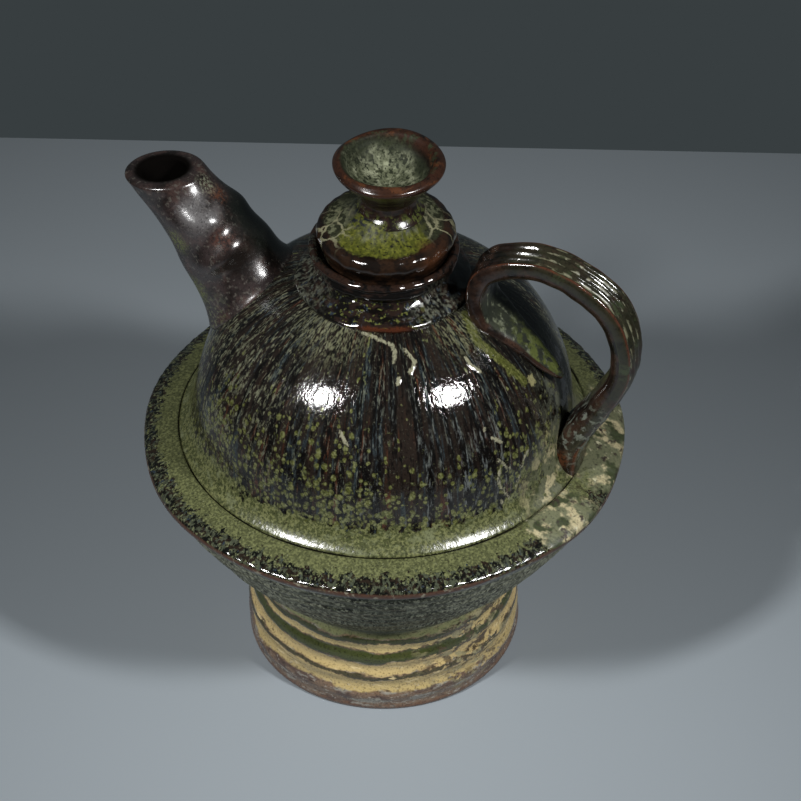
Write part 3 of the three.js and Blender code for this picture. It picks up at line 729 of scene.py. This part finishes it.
def neckProfile():
    # Out under the neck, up over the waist and both rings, and down into the gallery.
    base, waist, crest, gallery = pot["neckBase"], pot["neckWaist"], pot["neckHeight"] - 2.6, pot["gallery"]
    outside = splineLine(np.array([
        [base - 0.4, -0.5], [base + 0.1, 0.8], [base - 0.9, 1.8], [(base + waist) / 2 - 0.4, 3.3],
        [waist, 6.0], [21.8, 8.5], [22.0, 9.4], [21.3, crest - 0.1], [22.4, crest + 0.78],
        [22.5, crest + 1.8], [(22.6 + gallery) / 2, pot["neckHeight"]],
        [gallery + 0.1, crest + 1.7]]) + [0, neckFoot], 130)
    return [("hidden", [[pot["throat"], neckFoot], [base - 1.2, neckFoot - 0.5]]), ("seen", outside),
            ("hidden", [[gallery, gallerySeat], [pot["throat"], gallerySeat]])]


def neckRelief(angle, along, r, z):
    # A slow wander of the rings, on the outside only.
    return ease(pot["gallery"] - 0.5, pot["gallery"] + 1, r) * ripple(angle, along, *neck["wander"])


def neckCoat():
    # Thick iron glaze on the rings, rusty where it slid off and dusted with pale ash on the spout's side.
    coat = Coat("iron_glaze_on_neck")
    flow, place = coat.flow, coat.place
    grit = flow.cloud(0.9, 5.0, 0.75)
    slow = flow.cloud((9, 9, 5), 3.0)
    low = coat.z.rise(neckFoot + 8.5, neckFoot + 5.5)
    coat.base("#0a0807")
    coat.lay("#1e1511", flow.spots((4, 4, 2.4), 0.08))
    coat.lay("#232a31", flow.spots((1.3, 1.3, 2.0), -0.02) * low)
    front = low * place.patch((4, -24, 143), 8, 22)
    coat.lay("#4c4f28", flow.sized((-1, 1, 1)).spots(1.3, 0.0, 0.04) * front)
    haze = place.patch((-22, -10, 143), 5, 20) | place.patch((22, -12, 142), 3, 12)
    haze = haze * flow.spots((1.0, 1.0, 1.4), 0.06, 0.12)
    coat.lay("#54564a", haze * 0.8)
    strip = (coat.z + grit.swing(1.2)).rise(neckFoot + 2.0, neckFoot + 1.4)
    coat.lay("#3a1d10", strip * place.patch((9, -25.5, 141), 5, 10))
    coat.lay("#241812", coat.z.rise(neckFoot + 11.2, neckFoot + 12.4) * flow.spots(3, 0.12))
    return coat.finish(haze * 0.7, 0.08, 0.5, [(slow, 0.16), (grit, 0.02)])


grid, ends, fields = turned(neckProfile(), neck, neckRelief, True)
makePiece("neck_and_gallery", grid, ends, fields, "pot", "neck_collar", neckCoat())
print("neck made")


# Spout: rings along a bowed line, pinched between finger marks and open from mouth to root.

spout = {
    "rootReach": 44.1, "tipReach": 70.2, "tipHeight": 79.3, "bow": 1.3, "depth": 14.0,
    "rootRadius": 15.6, "tipRadius": 10.5, "wall": 3.0, "lipWall": 4.7, "lipRound": 0.032, "tilt": 8.0,
    "columns": 150, "rings": 110, "lipRings": 12, "boreRings": 40, "flowRadius": 13.0, "flowLength": 60,
    # place along, angle round in degrees, half length, half angle, height of each finger mark
    "knuckles": [(0.75, 148, 0.085, 38, 3.0), (0.59, 136, 0.065, 34, 2.4), (0.56, 172, 0.05, 26, 1.4),
                 (0.7, 50, 0.07, 34, 1.2), (0.52, 70, 0.07, 34, 1.0), (0.6, 250, 0.08, 40, 0.8)],
    "flare": 1.6, "flareFade": 2.2, "wander": (0.1, (1, 4), (9, 22), 12, 31),
}


def spoutLine():
    # From inside the dome out through the root and on to the tip, bowed sideways in the middle.
    share = float(domeShare(spout["rootReach"] / pot["domeRadius"]))
    root = np.array([spout["rootReach"], domeCentre + pot["domeHeight"] * share])
    tip = np.array([spout["tipReach"], seatHeight + spout["tipHeight"]])
    middle = (root + tip) / 2 + unit(np.array([root[1] - tip[1], tip[0] - root[0]])) * 2 * spout["bow"]
    start = root + unit(root - middle) * spout["depth"]
    return splineLine([start, root, bendLine(root, middle, tip, 2)[1], tip], 400)


def spoutRings(places, insets, angle):
    # Each ring is a circle round the line, leaned from the line's own slope to the mouth's plane,
    # with bell-shaped swellings at the finger marks and a flare where it meets the dome.
    centre, along = onLine(spoutLine(), places)
    tilt = math.radians(spout["tilt"])
    lean = ease(0.5, 1.0, places)[:, None]
    face = unit(along * (1 - lean) + np.array([math.sin(tilt), math.cos(tilt)]) * lean)
    stretch = (1 / np.sum(face * along, axis=1))[:, None]
    narrowing = (spout["rootRadius"] - spout["tipRadius"]) * ease(0.2, 0.95, places)[:, None]
    marks = ripple(angle, places[:, None] * spout["flowLength"], spout["wander"])
    for place, around, length, width, height in spout["knuckles"]:
        turn = (np.degrees(angle) - around + 180) % 360 - 180
        marks = marks + height * bell(places[:, None], place, length) * bell(turn, 0, width)
    skin = (insets < 1.2)[:, None] * ease(0.99, 0.9, places)[:, None]
    size = spout["rootRadius"] - narrowing - insets[:, None] + skin * marks
    across, high = np.cos(angle) * size, np.sin(angle) * size * stretch
    grid = np.stack([face[:, 1:] * high - centre[:, :1], across, centre[:, 1:] + face[:, :1] * high], -1)
    level = np.hypot(grid[..., 0], grid[..., 1])
    reach = domeReach(level, grid[..., 2], pot["domeRadius"], pot["domeHeight"])
    gap = np.maximum((reach - 1) * pot["domeHeight"], 0)
    flare = spout["flare"] * np.exp(-gap / spout["flareFade"]) * (insets < 0.1)[:, None]
    return grid + unit(grid - grid.mean(1, keepdims=True)) * flare[..., None]


def spoutGrid():
    # Rings go up the outside, round the lip by half a turn, and down the bore.
    lipRound, lipWall = spout["lipRound"], spout["lipWall"]
    turn = np.linspace(0, np.pi, spout["lipRings"] + 2)[1:-1]
    outer = np.linspace(0, 0.997 - lipRound, spout["rings"])
    bore = np.linspace(0.99 - lipRound, 0, spout["boreRings"])
    places = np.concatenate([outer, 1 - lipRound * (1 - np.sin(turn)), bore])
    insets = np.concatenate([outer * 0, lipWall / 2 * (1 - np.cos(turn)),
                             lipWall + (spout["wall"] - lipWall) * ease(0.95, 0.7, bore)])
    angle = np.arange(spout["columns"])[None, :] * fullTurn / spout["columns"]
    # the bore and the lip's inner half, which the coat paints near black as painted shade of the mouth's
    # recess
    inside = ease(0.3, 0.75, insets / lipWall) * ((places >= 0.9) | (insets > 1))
    flow = ringPoints(angle, places[:, None] * spout["flowLength"], spout["flowRadius"])
    return spoutRings(places, insets, angle), {"flow": flow, "inside": inside[:, None]}


def spoutCoat():
    # The same glaze fired thicker: dark brown, with a painted steel-grey highlight, moss green and rust on
    # the finger marks, olive ash near the root, painted shade on the far flank, and painted shade as dull
    # black in the mouth.
    coat = Coat("metallic_iron_glaze", 1.7)
    place = coat.place
    grit = place.cloud(0.9, 5.0, 0.75)
    slow = place.cloud(8, 4.0)
    inside = coat.read("inside")
    coat.base("#181311")
    coat.lay("#2b2322", place.spots(7, 0.1, 0.12))
    coat.lay("#3a2c28", place.spots(5, 0.0, 0.12))
    coat.lay("#4c4842", place.spots(1.4, -0.01, 0.06) * 0.7)
    coat.lay("#0b0908", grit.rise(0.6, 0.7))
    # painted highlight: a steel-grey sheen, with brighter grey grains, painted where the lamps' highlight
    # falls on the finger marks
    paintedSheen = place.patch((-54.5, -9.5, 158), 2, 9)
    coat.lay("#5a5858", paintedSheen * slow.rise(0.3, 0.55) * 0.9)
    coat.lay("#8b8b88", paintedSheen * grit.rise(0.58, 0.68))
    coat.lay("#42281f", place.patch((-46.8, -10.5, 150.5), 1, 6) * grit.rise(0.42, 0.58))
    coat.lay("#15100e", place.patch((-42.7, -11.2, 144), 2, 8))
    # painted shade: near-black green on the spout's flank that faces away from the lamps
    coat.lay("#0d110d", place.patch((-40, 8, 150), 11, 18) * 0.9)
    coat.lay("#474a3c", grit.rise(0.6, 0.7) * place.spots(8, -0.02))
    coat.lay("#54563f", place.patch((-50, -9, 122), 3, 15) * place.spots(1.2, 0.04, 0.06))
    mossy = place.patch((-61.7, -11.3, 147), 1, 6) | place.patch((-56, -10.6, 129.7), 2, 7)
    coat.lay("#545a2a", mossy * grit.rise(0.44, 0.56))
    coat.lay("#4f3020", place.patch((-52.3, -1.2, 160), 1, 5) * grit.rise(0.44, 0.6))
    coat.lay("#6a6c5b", place.patch((-55.5, -1.4, 163), 1, 5) * grit.rise(0.48, 0.58))
    # painted shade: the inside of the mouth and the inner half of the lip painted near black
    coat.lay("#080706", inside)
    return coat.finish(grit.rise(0.5, 0.7) * 0.4 | inside, 0.2, 0.6, [(slow, 0.05), (grit, 0.035)], inside)


grid, fields = spoutGrid()
makePiece("spout_with_finger_marks", grid, None, fields, "pot", "spout", spoutCoat())
print("spout made")


# Handle: a combed strap from the brim up and over to the dome, where it is pressed on and ends in a leaf.

strap = {
    "footReach": 59.2, "outerReach": 75.5, "outerHeight": 43.6, "crownReach": 50.0, "crownHeight": 73.5,
    "width": 14.5, "thickness": 7.0, "taper": 2.4, "ribs": 4, "groove": 1.15, "footSpread": 2.6,
    "landing": 6.6, "tail": 4.6, "tipThickness": 1.5, "tipLift": 5.0, "wrap": 2.2, "dish": 2.0, "press": 1.1,
    "rings": 300, "outer": 84, "inner": 48, "lineStep": 0.15, "wear": (0.07, (1, 6), (5, 18), 20, 41),
}


def onDome(degrees, lifts):
    # Points above the dome in the plane of spout and handle: the outline's points plus lift times its normal.
    a = np.radians(degrees)
    normal = unit(np.column_stack([np.cos(a) / pot["domeRadius"], np.sin(a) / pot["domeHeight"]]))
    return domeSpots(a, pot["domeRadius"], pot["domeHeight"]) + normal * np.array(lifts)[:, None]


def strapLine():
    # Up from the brim and over the crown, then down onto the dome and along it to the leaf's tip.
    foot, crown, outer = strap["footReach"], strap["crownReach"], strap["outerHeight"]
    reach, span = strap["outerReach"] - foot, strap["outerReach"] - crown
    climb = strap["crownHeight"] - outer
    press, lift = strap["press"], strap["tipLift"]
    half = strap["tail"] / 2 - press
    rising = np.array([
        [foot, -1], [foot + reach * 0.07, outer * 0.22], [foot + reach * 0.6, outer * 0.61],
        [strap["outerReach"], outer], [crown + span * 0.81, outer + climb * 0.62],
        [crown, strap["crownHeight"]]]) + [0, seatHeight]
    landing = onDome([63, 62.5, 57.5, 50, 41.5, 34, 27],
                     [16 - press, 9.2 - press, 3.5 - press, half, half, half + lift * 0.12, lift - press])
    return evenLine(centripetalLine(np.vstack([rising, landing]), 60), strap["lineStep"])


def strapGrid():
    # Rings across the line. Their outline is a box with round corners, ribbed outside and dished inside,
    # whose width, thickness, bend and groove depth change along the strap.
    line = strapLine()
    length = stepSums(line)[-1]
    t = np.linspace(0, 1, strap["rings"])
    centre, along = onLine(line, t)
    out = np.stack([along[:, 1], -along[:, 0]], 1)
    t = t[:, None]
    foot, leaf, tip = 1 - ease(0, 0.2, t), ease(0.66, 0.84, t), ease(0.84, 1, t)
    point = np.sqrt(np.maximum(0.02, 1 - np.maximum(0, (t - 0.82) / 0.18) ** 2))
    width = (strap["width"] - strap["taper"] * ease(0.3, 0.6, t) + strap["footSpread"] * foot
             + strap["landing"] * bell(t, 0.79, 0.08)) * point
    full = strap["thickness"] + strap["footSpread"] * foot
    thickness = full + (strap["tail"] - full) * leaf
    thickness = thickness + (strap["tipThickness"] - thickness) * tip
    dish = np.minimum(strap["dish"] * leaf * point, thickness * 0.35)
    wrap = strap["wrap"] * leaf * (1 - tip)
    groove = strap["groove"] * (1 - leaf) * (1 - foot)
    u = np.concatenate([-np.cos(np.pi * np.arange(strap["outer"]) / strap["outer"]),
                        np.cos(np.pi * np.arange(strap["inner"]) / strap["inner"])])[None, :]
    face = np.concatenate([np.ones(strap["outer"]), -np.ones(strap["inner"])])[None, :]
    edge = np.maximum(0, 1 - np.abs(u) ** 6) ** 0.4
    drift = 0.02 * np.sin(t * 23) + 0.012 * np.sin(t * 61 + 1)
    cut = (1 - np.cos(np.pi * strap["ribs"] * (u + drift + 1))) / 2 * (1 - u ** 4)
    outerRise = edge * (thickness / 2 - groove * (cut - 0.35))
    innerRise = -edge * thickness / 2 + dish * (1 - u * u)
    worn = ripple(np.arctan2(face, u), t * length, strap["wear"])
    high = np.where(face > 0, outerRise, innerRise) + wrap * u * u + worn * face
    side = u * width / 2
    x, z = centre[:, :1] + out[:, :1] * high, centre[:, 1:] + out[:, 1:] * high
    flow = np.stack(np.broadcast_arrays(side, face * 3.0, t * length), -1)
    fields = {"across": u, "face": face, "share": t, "cut": cut * (face > 0) * (groove > 0.1), "flow": flow}
    return np.stack([x, side, z], -1), fields


def strapCoat():
    # Thin iron glaze that burns to rust on the edges of the pulled clay, with pale ash left in the combed
    # grooves and green-grey glaze pooled on the leaf.
    coat = Coat("thin_iron_glaze_on_pulled_clay")
    flow, place = coat.flow, coat.place
    grit = place.cloud(1.0, 5.0, 0.75)
    slow = place.cloud(7, 4.0)
    across, share = abs(coat.read("across")), coat.read("share")
    outside = coat.read("face").rise(-0.2, 0.2)
    coat.base("#17100d")
    coat.lay("#261a14", place.spots(6, 0.12, 0.12))
    coat.lay("#33241c", place.spots(9, 0.02, 0.1))
    coat.lay("#0f0c0a", grit.rise(0.58, 0.7))
    coat.lay("#0a0908", place.sized((-1, 1, 1)).spots(9, 0.02, 0.08))
    coat.lay("#3c3a33", grit.rise(0.56, 0.68) * place.spots(7, 0.02))
    coat.lay("#4a4b40", share.rise(0.24, 0.04) * place.spots((2, 2, 3), 0.0, 0.06))
    coat.lay("#232419", outside * share.band(0.08, 0.64, 0.06) * slow.rise(0.3, 0.5) * 0.75)
    edges = across.band(0.83, 0.92, 0.04) * outside
    coat.lay("#41261a", edges * slow.rise(0.3, 0.5))
    coat.lay("#5c321d", edges * place.spots(5, -0.02, 0.06))
    chalk = coat.read("cut").rise(0.35, 0.75) * flow.spots((1.0, 1.0, 4), 0.06, 0.05)
    chalk = chalk * share.band(0.14, 0.6, 0.06)
    coat.lay("#66654f", chalk)
    coat.lay("#2b3120", flow.spots((3, 3, 6), -0.03, 0.06) * outside * share.band(0.2, 0.6, 0.05))
    leaf = share.rise(0.72, 0.78) * outside.rise(0.6, 0.4) * across.rise(0.88, 0.74)
    coat.lay("#20231a", leaf)
    coat.lay("#565a49", leaf * place.spots(2.4, 0.0, 0.06))
    coat.lay("#484f24", leaf * share.rise(0.8, 0.95) * place.spots(3.4, 0.1))
    ash = share.band(0.05, 0.2, 0.04) * place.spots(2.4, 0.02, 0.05)
    coat.lay("#565a50", ash)
    coat.lay("#5e331c", place.patch((58, -9, 92), 1.5, 5) * grit.rise(0.4, 0.5))
    return coat.finish(chalk * 0.8 | ash | leaf * 0.6, 0.12, 0.55, [(slow, 0.25), (grit, 0.02)])


grid, fields = strapGrid()
makePiece("strap_handle", grid, [grid[0].mean(0), grid[-1].mean(0)], fields, "pot", "handle_strap",
          strapCoat())
print("handle made")


# Lid: the thick roll, the hollow crown, the spigot under it and the cupped knob on top.

lid = {"columns": 240, "softness": 0.3, "seen": 0.35, "hidden": 1.2, "flowRadius": 17.0, "clear": 0.9,
       "roll": 20.6, "rollTop": 10.4, "crown": 6.0, "crownRadius": 9.2, "hollow": 9.5,
       "wander": [(0.16, (2, 6), (8, 24), 10, 51), (0.06, (10, 30), (5, 14), 16, 52)]}
spigot = {"columns": 180, "softness": 0.25, "hidden": 0.7, "flowRadius": 14.0, "wall": 2.0, "length": 10.0}
knob = {"columns": 240, "softness": 0.3, "seen": 0.35, "inner": 0.45, "hidden": 1.2, "flowRadius": 12.0,
        "radius": 16.4, "height": 17.0, "stem": 8.2, "wall": 2.4, "cup": 10.6, "sunk": 1.6,
        "rim": (0.12, (2, 4), (5, 6), 8, 61), "rings": (0.07, (0, 4), (1.6, 5), 16, 62)}
spigotRadius = pot["throat"] - lid["clear"]
knobFoot = gallerySeat + lid["rollTop"] + lid["crown"]


def lidProfile():
    # The hollow under the lid, the foot's edge and the thick roll, and the crown up to the knob.
    top, roll, foot, crown = lid["rollTop"], lid["roll"], pot["gallery"] - lid["clear"], lid["crownRadius"]
    hollow, ceiling = spigotRadius - spigot["wall"], gallerySeat + lid["hollow"]
    under = bendLine([hollow * 0.55, ceiling], [hollow, ceiling], [hollow, gallerySeat], 12)
    outside = splineLine(np.array([
        [foot, 2.4], [roll - 0.5, 5.4], [roll, 7.2], [roll - 0.7, top - 1], [roll - 2.2, top],
        [roll - 5, top + 0.8], [(crown + roll - 5) / 2, top + lid["crown"] * 0.42],
        [crown, top + lid["crown"]]]) + [0, gallerySeat], 90)
    return [("hidden", [[0, ceiling]]), ("hidden", under),
            ("hidden", [[foot - 0.5, gallerySeat], [foot, gallerySeat + 0.5]]), ("seen", outside),
            ("hidden", [[0, knobFoot]])]


def lidRelief(angle, along, r, z):
    # The roll wanders a little, as a thrown edge does.
    crown = lid["crownRadius"]
    seen = ease(gallerySeat + 4.5, gallerySeat + 6, z) * ease(crown + 0.5, crown + 3, r)
    return seen * ripple(angle, along, *lid["wander"])


def lidCoat():
    # Olive glaze pooled thick round the knob, thinning to dark brown over the roll, with a rust patch at
    # its edge and crawled glaze at the sides.
    coat = Coat("olive_pool_glaze")
    flow, place = coat.flow, coat.place
    grit = flow.cloud(0.8, 5.0, 0.75)
    slow = flow.cloud((7, 7, 5), 4.0)
    coat.base("#120d0a")
    coat.lay("#23170f", flow.spots(4, 0.1, 0.08))
    top = coat.z.rise(gallerySeat + 8.8, gallerySeat + 9.8)
    olive = top * (coat.radius + slow.swing(5.0) + grit.swing(2.0)).rise(18.0, 16.8)
    coat.lay("#24261a", olive)
    coat.lay("#43462f", olive * place.spots(1.8, -0.02))
    bright = olive * (place.patch((5, -15, 162), 7, 21) + slow.swing(0.8)).rise(0.3, 0.6)
    coat.lay("#393c13", bright)
    coat.lay("#4e501c", bright * place.spots(1.2, 0.06, 0.06))
    coat.lay("#14140b", olive * place.spots(1.0, -0.02))
    coat.lay("#10131a", olive * coat.radius.rise(13.0, 10.0) * place.spots(1.5, 0.06))
    coat.lay("#3f2617", place.patch((20, -10, 161), 2, 9) * slow.rise(0.36, 0.6))
    pale = olive * (place.patch((-17, -5, 162), 4, 14) | place.patch((10, 14, 164), 5, 16))
    pale = pale * place.spots(2.0, 0.08, 0.05)
    coat.lay("#5d5f49", pale * 0.85)
    sides = place.patch((-15, -9, 162), 4, 12) | place.patch((15, 3, 163), 3, 10)
    coat.lay("#77755c", sides * place.cracks(6.0, 0.07) * 0.8)
    return coat.finish(pale | olive, 0.1, 0.45, [(slow, 0.16), (grit, 0.04)], olive * 0.75)


def spigotProfile():
    # A plain ring below the gallery's seat.
    bottom, inside = gallerySeat - spigot["length"], spigotRadius - spigot["wall"]
    return [("hidden", [[inside, gallerySeat], [inside, bottom], [spigotRadius, bottom],
                        [spigotRadius, gallerySeat]])]


def spigotCoat():
    # Bare fired stoneware, left without glaze where it touches the gallery: dull, with grog specks.
    coat = Coat("bare_fired_stoneware", 1.5)
    grain = coat.flow.cloud(0.9, 4.0, 0.7)
    coat.base("#8a6b52")
    coat.lay("#6b4d38", coat.flow.cloud((6, 6, 3), 4.0).rise(0.44, 0.6))
    coat.lay("#3a2d24", coat.flow.spots(1.0, -0.08) * 0.8)
    return coat.finish(grain, 0.6, 0.8, [(grain, 0.15)])


def knobProfile():
    # The stem and the widening side, the rim, and the cup down to the axis.
    radius, height, stem, wall, cup = (knob[k] for k in ("radius", "height", "stem", "wall", "cup"))
    foot, base = lid["crownRadius"], [0, knobFoot]
    outside = splineLine(np.array([
        [foot + 1.6, -knob["sunk"]], [foot - 0.2, 0.4], [stem, 2.6], [stem + 0.3, 5],
        [stem + (radius - stem) * 0.4, height * 0.52], [radius - 1.7, height * 0.73], [radius, height - 2.2],
        [radius - 0.6, height - 0.6], [radius - 2.1, height]]) + base, 110)
    inside = splineLine(np.array([
        [radius - 2.9, height - 0.4], [radius - 3.6, height - 1.6], [radius - wall - 3.0, height - cup * 0.5],
        [(radius - wall) * 0.5, height - cup + 1.4], [0, height - cup]]) + base, 50)
    return [("hidden", [[0, knobFoot - knob["sunk"]]]), ("seen", outside), ("inner", inside)]


def knobRelief(angle, along, r, z):
    # The rim isn't quite round or level, and the cup keeps faint throwing rings.
    rim = bell(z, knobFoot + knob["height"], 5.0) * ease(10, 14, r)
    rings = ease(2, 5, r) * ripple(angle, along, knob["rings"])
    return rim * ripple(angle, along * 0, knob["rim"]) + rings


def knobCoat():
    # Thin iron glaze, rust red on the rim, with a green-grey crust of ash lying in the cup.
    coat = Coat("thin_iron_glaze_on_knob")
    flow, place = coat.flow, coat.place
    grit = flow.cloud(0.8, 5.0, 0.75)
    slow = flow.cloud(6, 4.0)
    coat.base("#130d0a")
    coat.lay("#211611", flow.spots(3, 0.1, 0.08))
    top = knobFoot + knob["height"]
    inside = coat.read("inside")
    rim = coat.z.rise(top - 4.4, top - 1.6) * coat.radius.rise(12.0, 13.6)
    coat.lay("#2e1b12", rim * slow.rise(0.3, 0.56))
    coat.lay("#442817", rim * flow.spots((4, 4, 3), 0.0, 0.06))
    crust = inside * (coat.radius + slow.swing(7.0)).rise(13.2, 8.0) * flow.spots(1.4, 0.16, 0.06)
    coat.lay("#23271c", inside * coat.radius.rise(13.6, 12.0))
    coat.lay("#5b5f4a", crust * 0.85)
    coat.lay("#80836c", crust * place.spots((2.4, 2.4, 3.0), 0.04, 0.1))
    coat.lay("#2c3021", inside * place.sized((-1, 1, 1)).spots((2.4, 2.4, 5.0), 0.0, 0.08))
    coat.lay("#3e421f", coat.z.rise(knobFoot + 3.0, knobFoot + 0.6) * flow.spots(2, 0.08))
    return coat.finish(inside * 0.9, 0.2, 0.6, [(slow, 0.15), (grit, 0.03)], inside * 0.85)


# the thrown lid sits a little to one side in its clearance, and the knob to the same side on it
seated = {"side": math.radians(19.0), "lid": 0.6, "knob": 1.4}
sideways = np.array([math.cos(seated["side"]), math.sin(seated["side"]), 0.0])
lidShift, knobShift = seated["lid"] * sideways, seated["knob"] * sideways

grid, ends, fields = turned(lidProfile(), lid, lidRelief, False)
makePiece("lid_roll_and_crown", grid + lidShift, ends + lidShift, fields, "lid", "lid_disc",
          lidCoat())

grid, ends, fields = turned(spigotProfile(), spigot, None, True)
makePiece("lid_spigot_ring", grid + lidShift, ends, fields, "lid", "lid_spigot",
          spigotCoat())

grid, ends, fields = turned(knobProfile(), knob, knobRelief, False)
crest = np.argmax(softProfile(knobProfile(), knob, False)[0][1:-1, 1])
fields["inside"] = ease(crest - 2, crest + 2, np.arange(len(grid)))[:, None]
makePiece("cupped_knob", grid + knobShift, ends + knobShift, fields, "lid", "lid_knob",
          knobCoat())
print("lid made")


# Table. It ends in a slightly slanted line behind the pot, and the dark grey room lies beyond it.

view = {"turn": 19.0, "distance": 709.9, "height": 701.7, "slide": 0.0055, "down": 0.6514, "roll": 0.34,
        "lens": 136.03}
table = {"half": 2600, "end": 262.0, "slant": 1.8, "color": "#7b8287", "roughness": 0.75, "drift": 0.03,
         "cloud": (1958.4, 1440.6, 1000), "start": (1.3125, 2.2941, 1.5)}
turn = math.radians(view["turn"])
toSide = Vector((math.cos(turn), math.sin(turn), 0))       # picture right
toBack = Vector((-math.sin(turn), math.cos(turn), 0))      # away from the camera


def staged(side, back, up):
    # A point given by its millimetres to the right, away and up, as the camera sees the pot.
    return (toSide * side + toBack * back + Vector((0, 0, up))) * mm


def paperMaterial():
    # Matt paper from a roll, a plain blue grey whose shade drifts a little over a metre or two.
    material = bpy.data.materials.new("matt_studio_paper")
    material.use_nodes = True
    tree = material.node_tree
    here = Field(add(tree, "TexCoord", {}).outputs["Object"]).sized([size * mm for size in table["cloud"]])
    moved = here.make("VectorMath", 0, {0: here, 1: table["start"]}, operation="ADD")
    light = linear(table["color"])
    dark = [c * (1 - table["drift"]) for c in light[:3]] + [1.0]
    mixed = add(tree, "Mix", {0: moved.cloud(1, 2.0, 0.5), 6: light, 7: dark}, data_type="RGBA").outputs[2]
    shader = tree.nodes["Principled BSDF"]
    shader.inputs["Roughness"].default_value = table["roughness"]
    tree.links.new(mixed, shader.inputs["Base Color"])
    return material


half, end = table["half"], table["end"]
slant = half * math.tan(math.radians(table["slant"]))
corners = [(-half, -half), (half, -half), (half, end - slant), (-half, end + slant)]
mesh = bpy.data.meshes.new("studio_table")
mesh.from_pydata([staged(*corner, 0) for corner in corners], [], [(0, 1, 2, 3)])
mesh.materials.append(paperMaterial())
sheet = bpy.data.objects.new("studio_table", mesh)
bpy.context.scene.collection.objects.link(sheet)


# Lamps: two softboxes in front, left and right, and an even grey room

lamps = {"left": (-0.556, -0.513, 0.654), "right": (0.595, -0.496, 0.632), "centre": (0, 0, 110),
         "aim": (0, -70, 80), "distance": 850.0, "width": 0.08, "height": 0.13, "power": 0.76, "spread": 55.0}
for name in ("left", "right"):
    light = bpy.data.lights.new("softbox_" + name, "AREA")
    light.shape = "RECTANGLE"
    light.size, light.size_y = lamps["width"], lamps["height"]
    light.energy = lamps["power"]
    light.spread = math.radians(lamps["spread"])
    lamp = bpy.data.objects.new("softbox_" + name, light)
    lamp.location = staged(*lamps["centre"]) + staged(*[w * lamps["distance"] for w in lamps[name]])
    lamp.rotation_euler = (staged(*lamps["aim"]) - lamp.location).to_track_quat("-Z", "Y").to_euler()
    bpy.context.scene.collection.objects.link(lamp)

world = bpy.data.worlds.new("grey_room")
world.use_nodes = True
world.node_tree.nodes["Background"].inputs[0].default_value = linear("#383e40")
world.node_tree.nodes["Background"].inputs[1].default_value = 1.0
bpy.context.scene.world = world


# Camera at the photograph's angle

down, slide = view["down"], view["slide"]
forward = toSide * slide + toBack * math.sqrt(1 - down ** 2 - slide ** 2) - Vector((0, 0, down))
forward.normalize()
right = forward.cross(Vector((0, 0, 1))).normalized()
basis = Matrix((right, right.cross(forward), -forward)).transposed().to_4x4()
camera = bpy.data.cameras.new("photo_camera")
camera.sensor_width = 36.0
camera.lens = view["lens"]
cameraObject = bpy.data.objects.new("photo_camera", camera)
cameraObject.matrix_world = (Matrix.Translation(staged(0, -view["distance"], view["height"])) @ basis
                             @ Matrix.Rotation(math.radians(view["roll"]), 4, "Z"))
bpy.context.scene.collection.objects.link(cameraObject)
bpy.context.scene.camera = cameraObject
bpy.context.scene.view_settings.view_transform = "Standard"
print("stage, lamps and camera set")
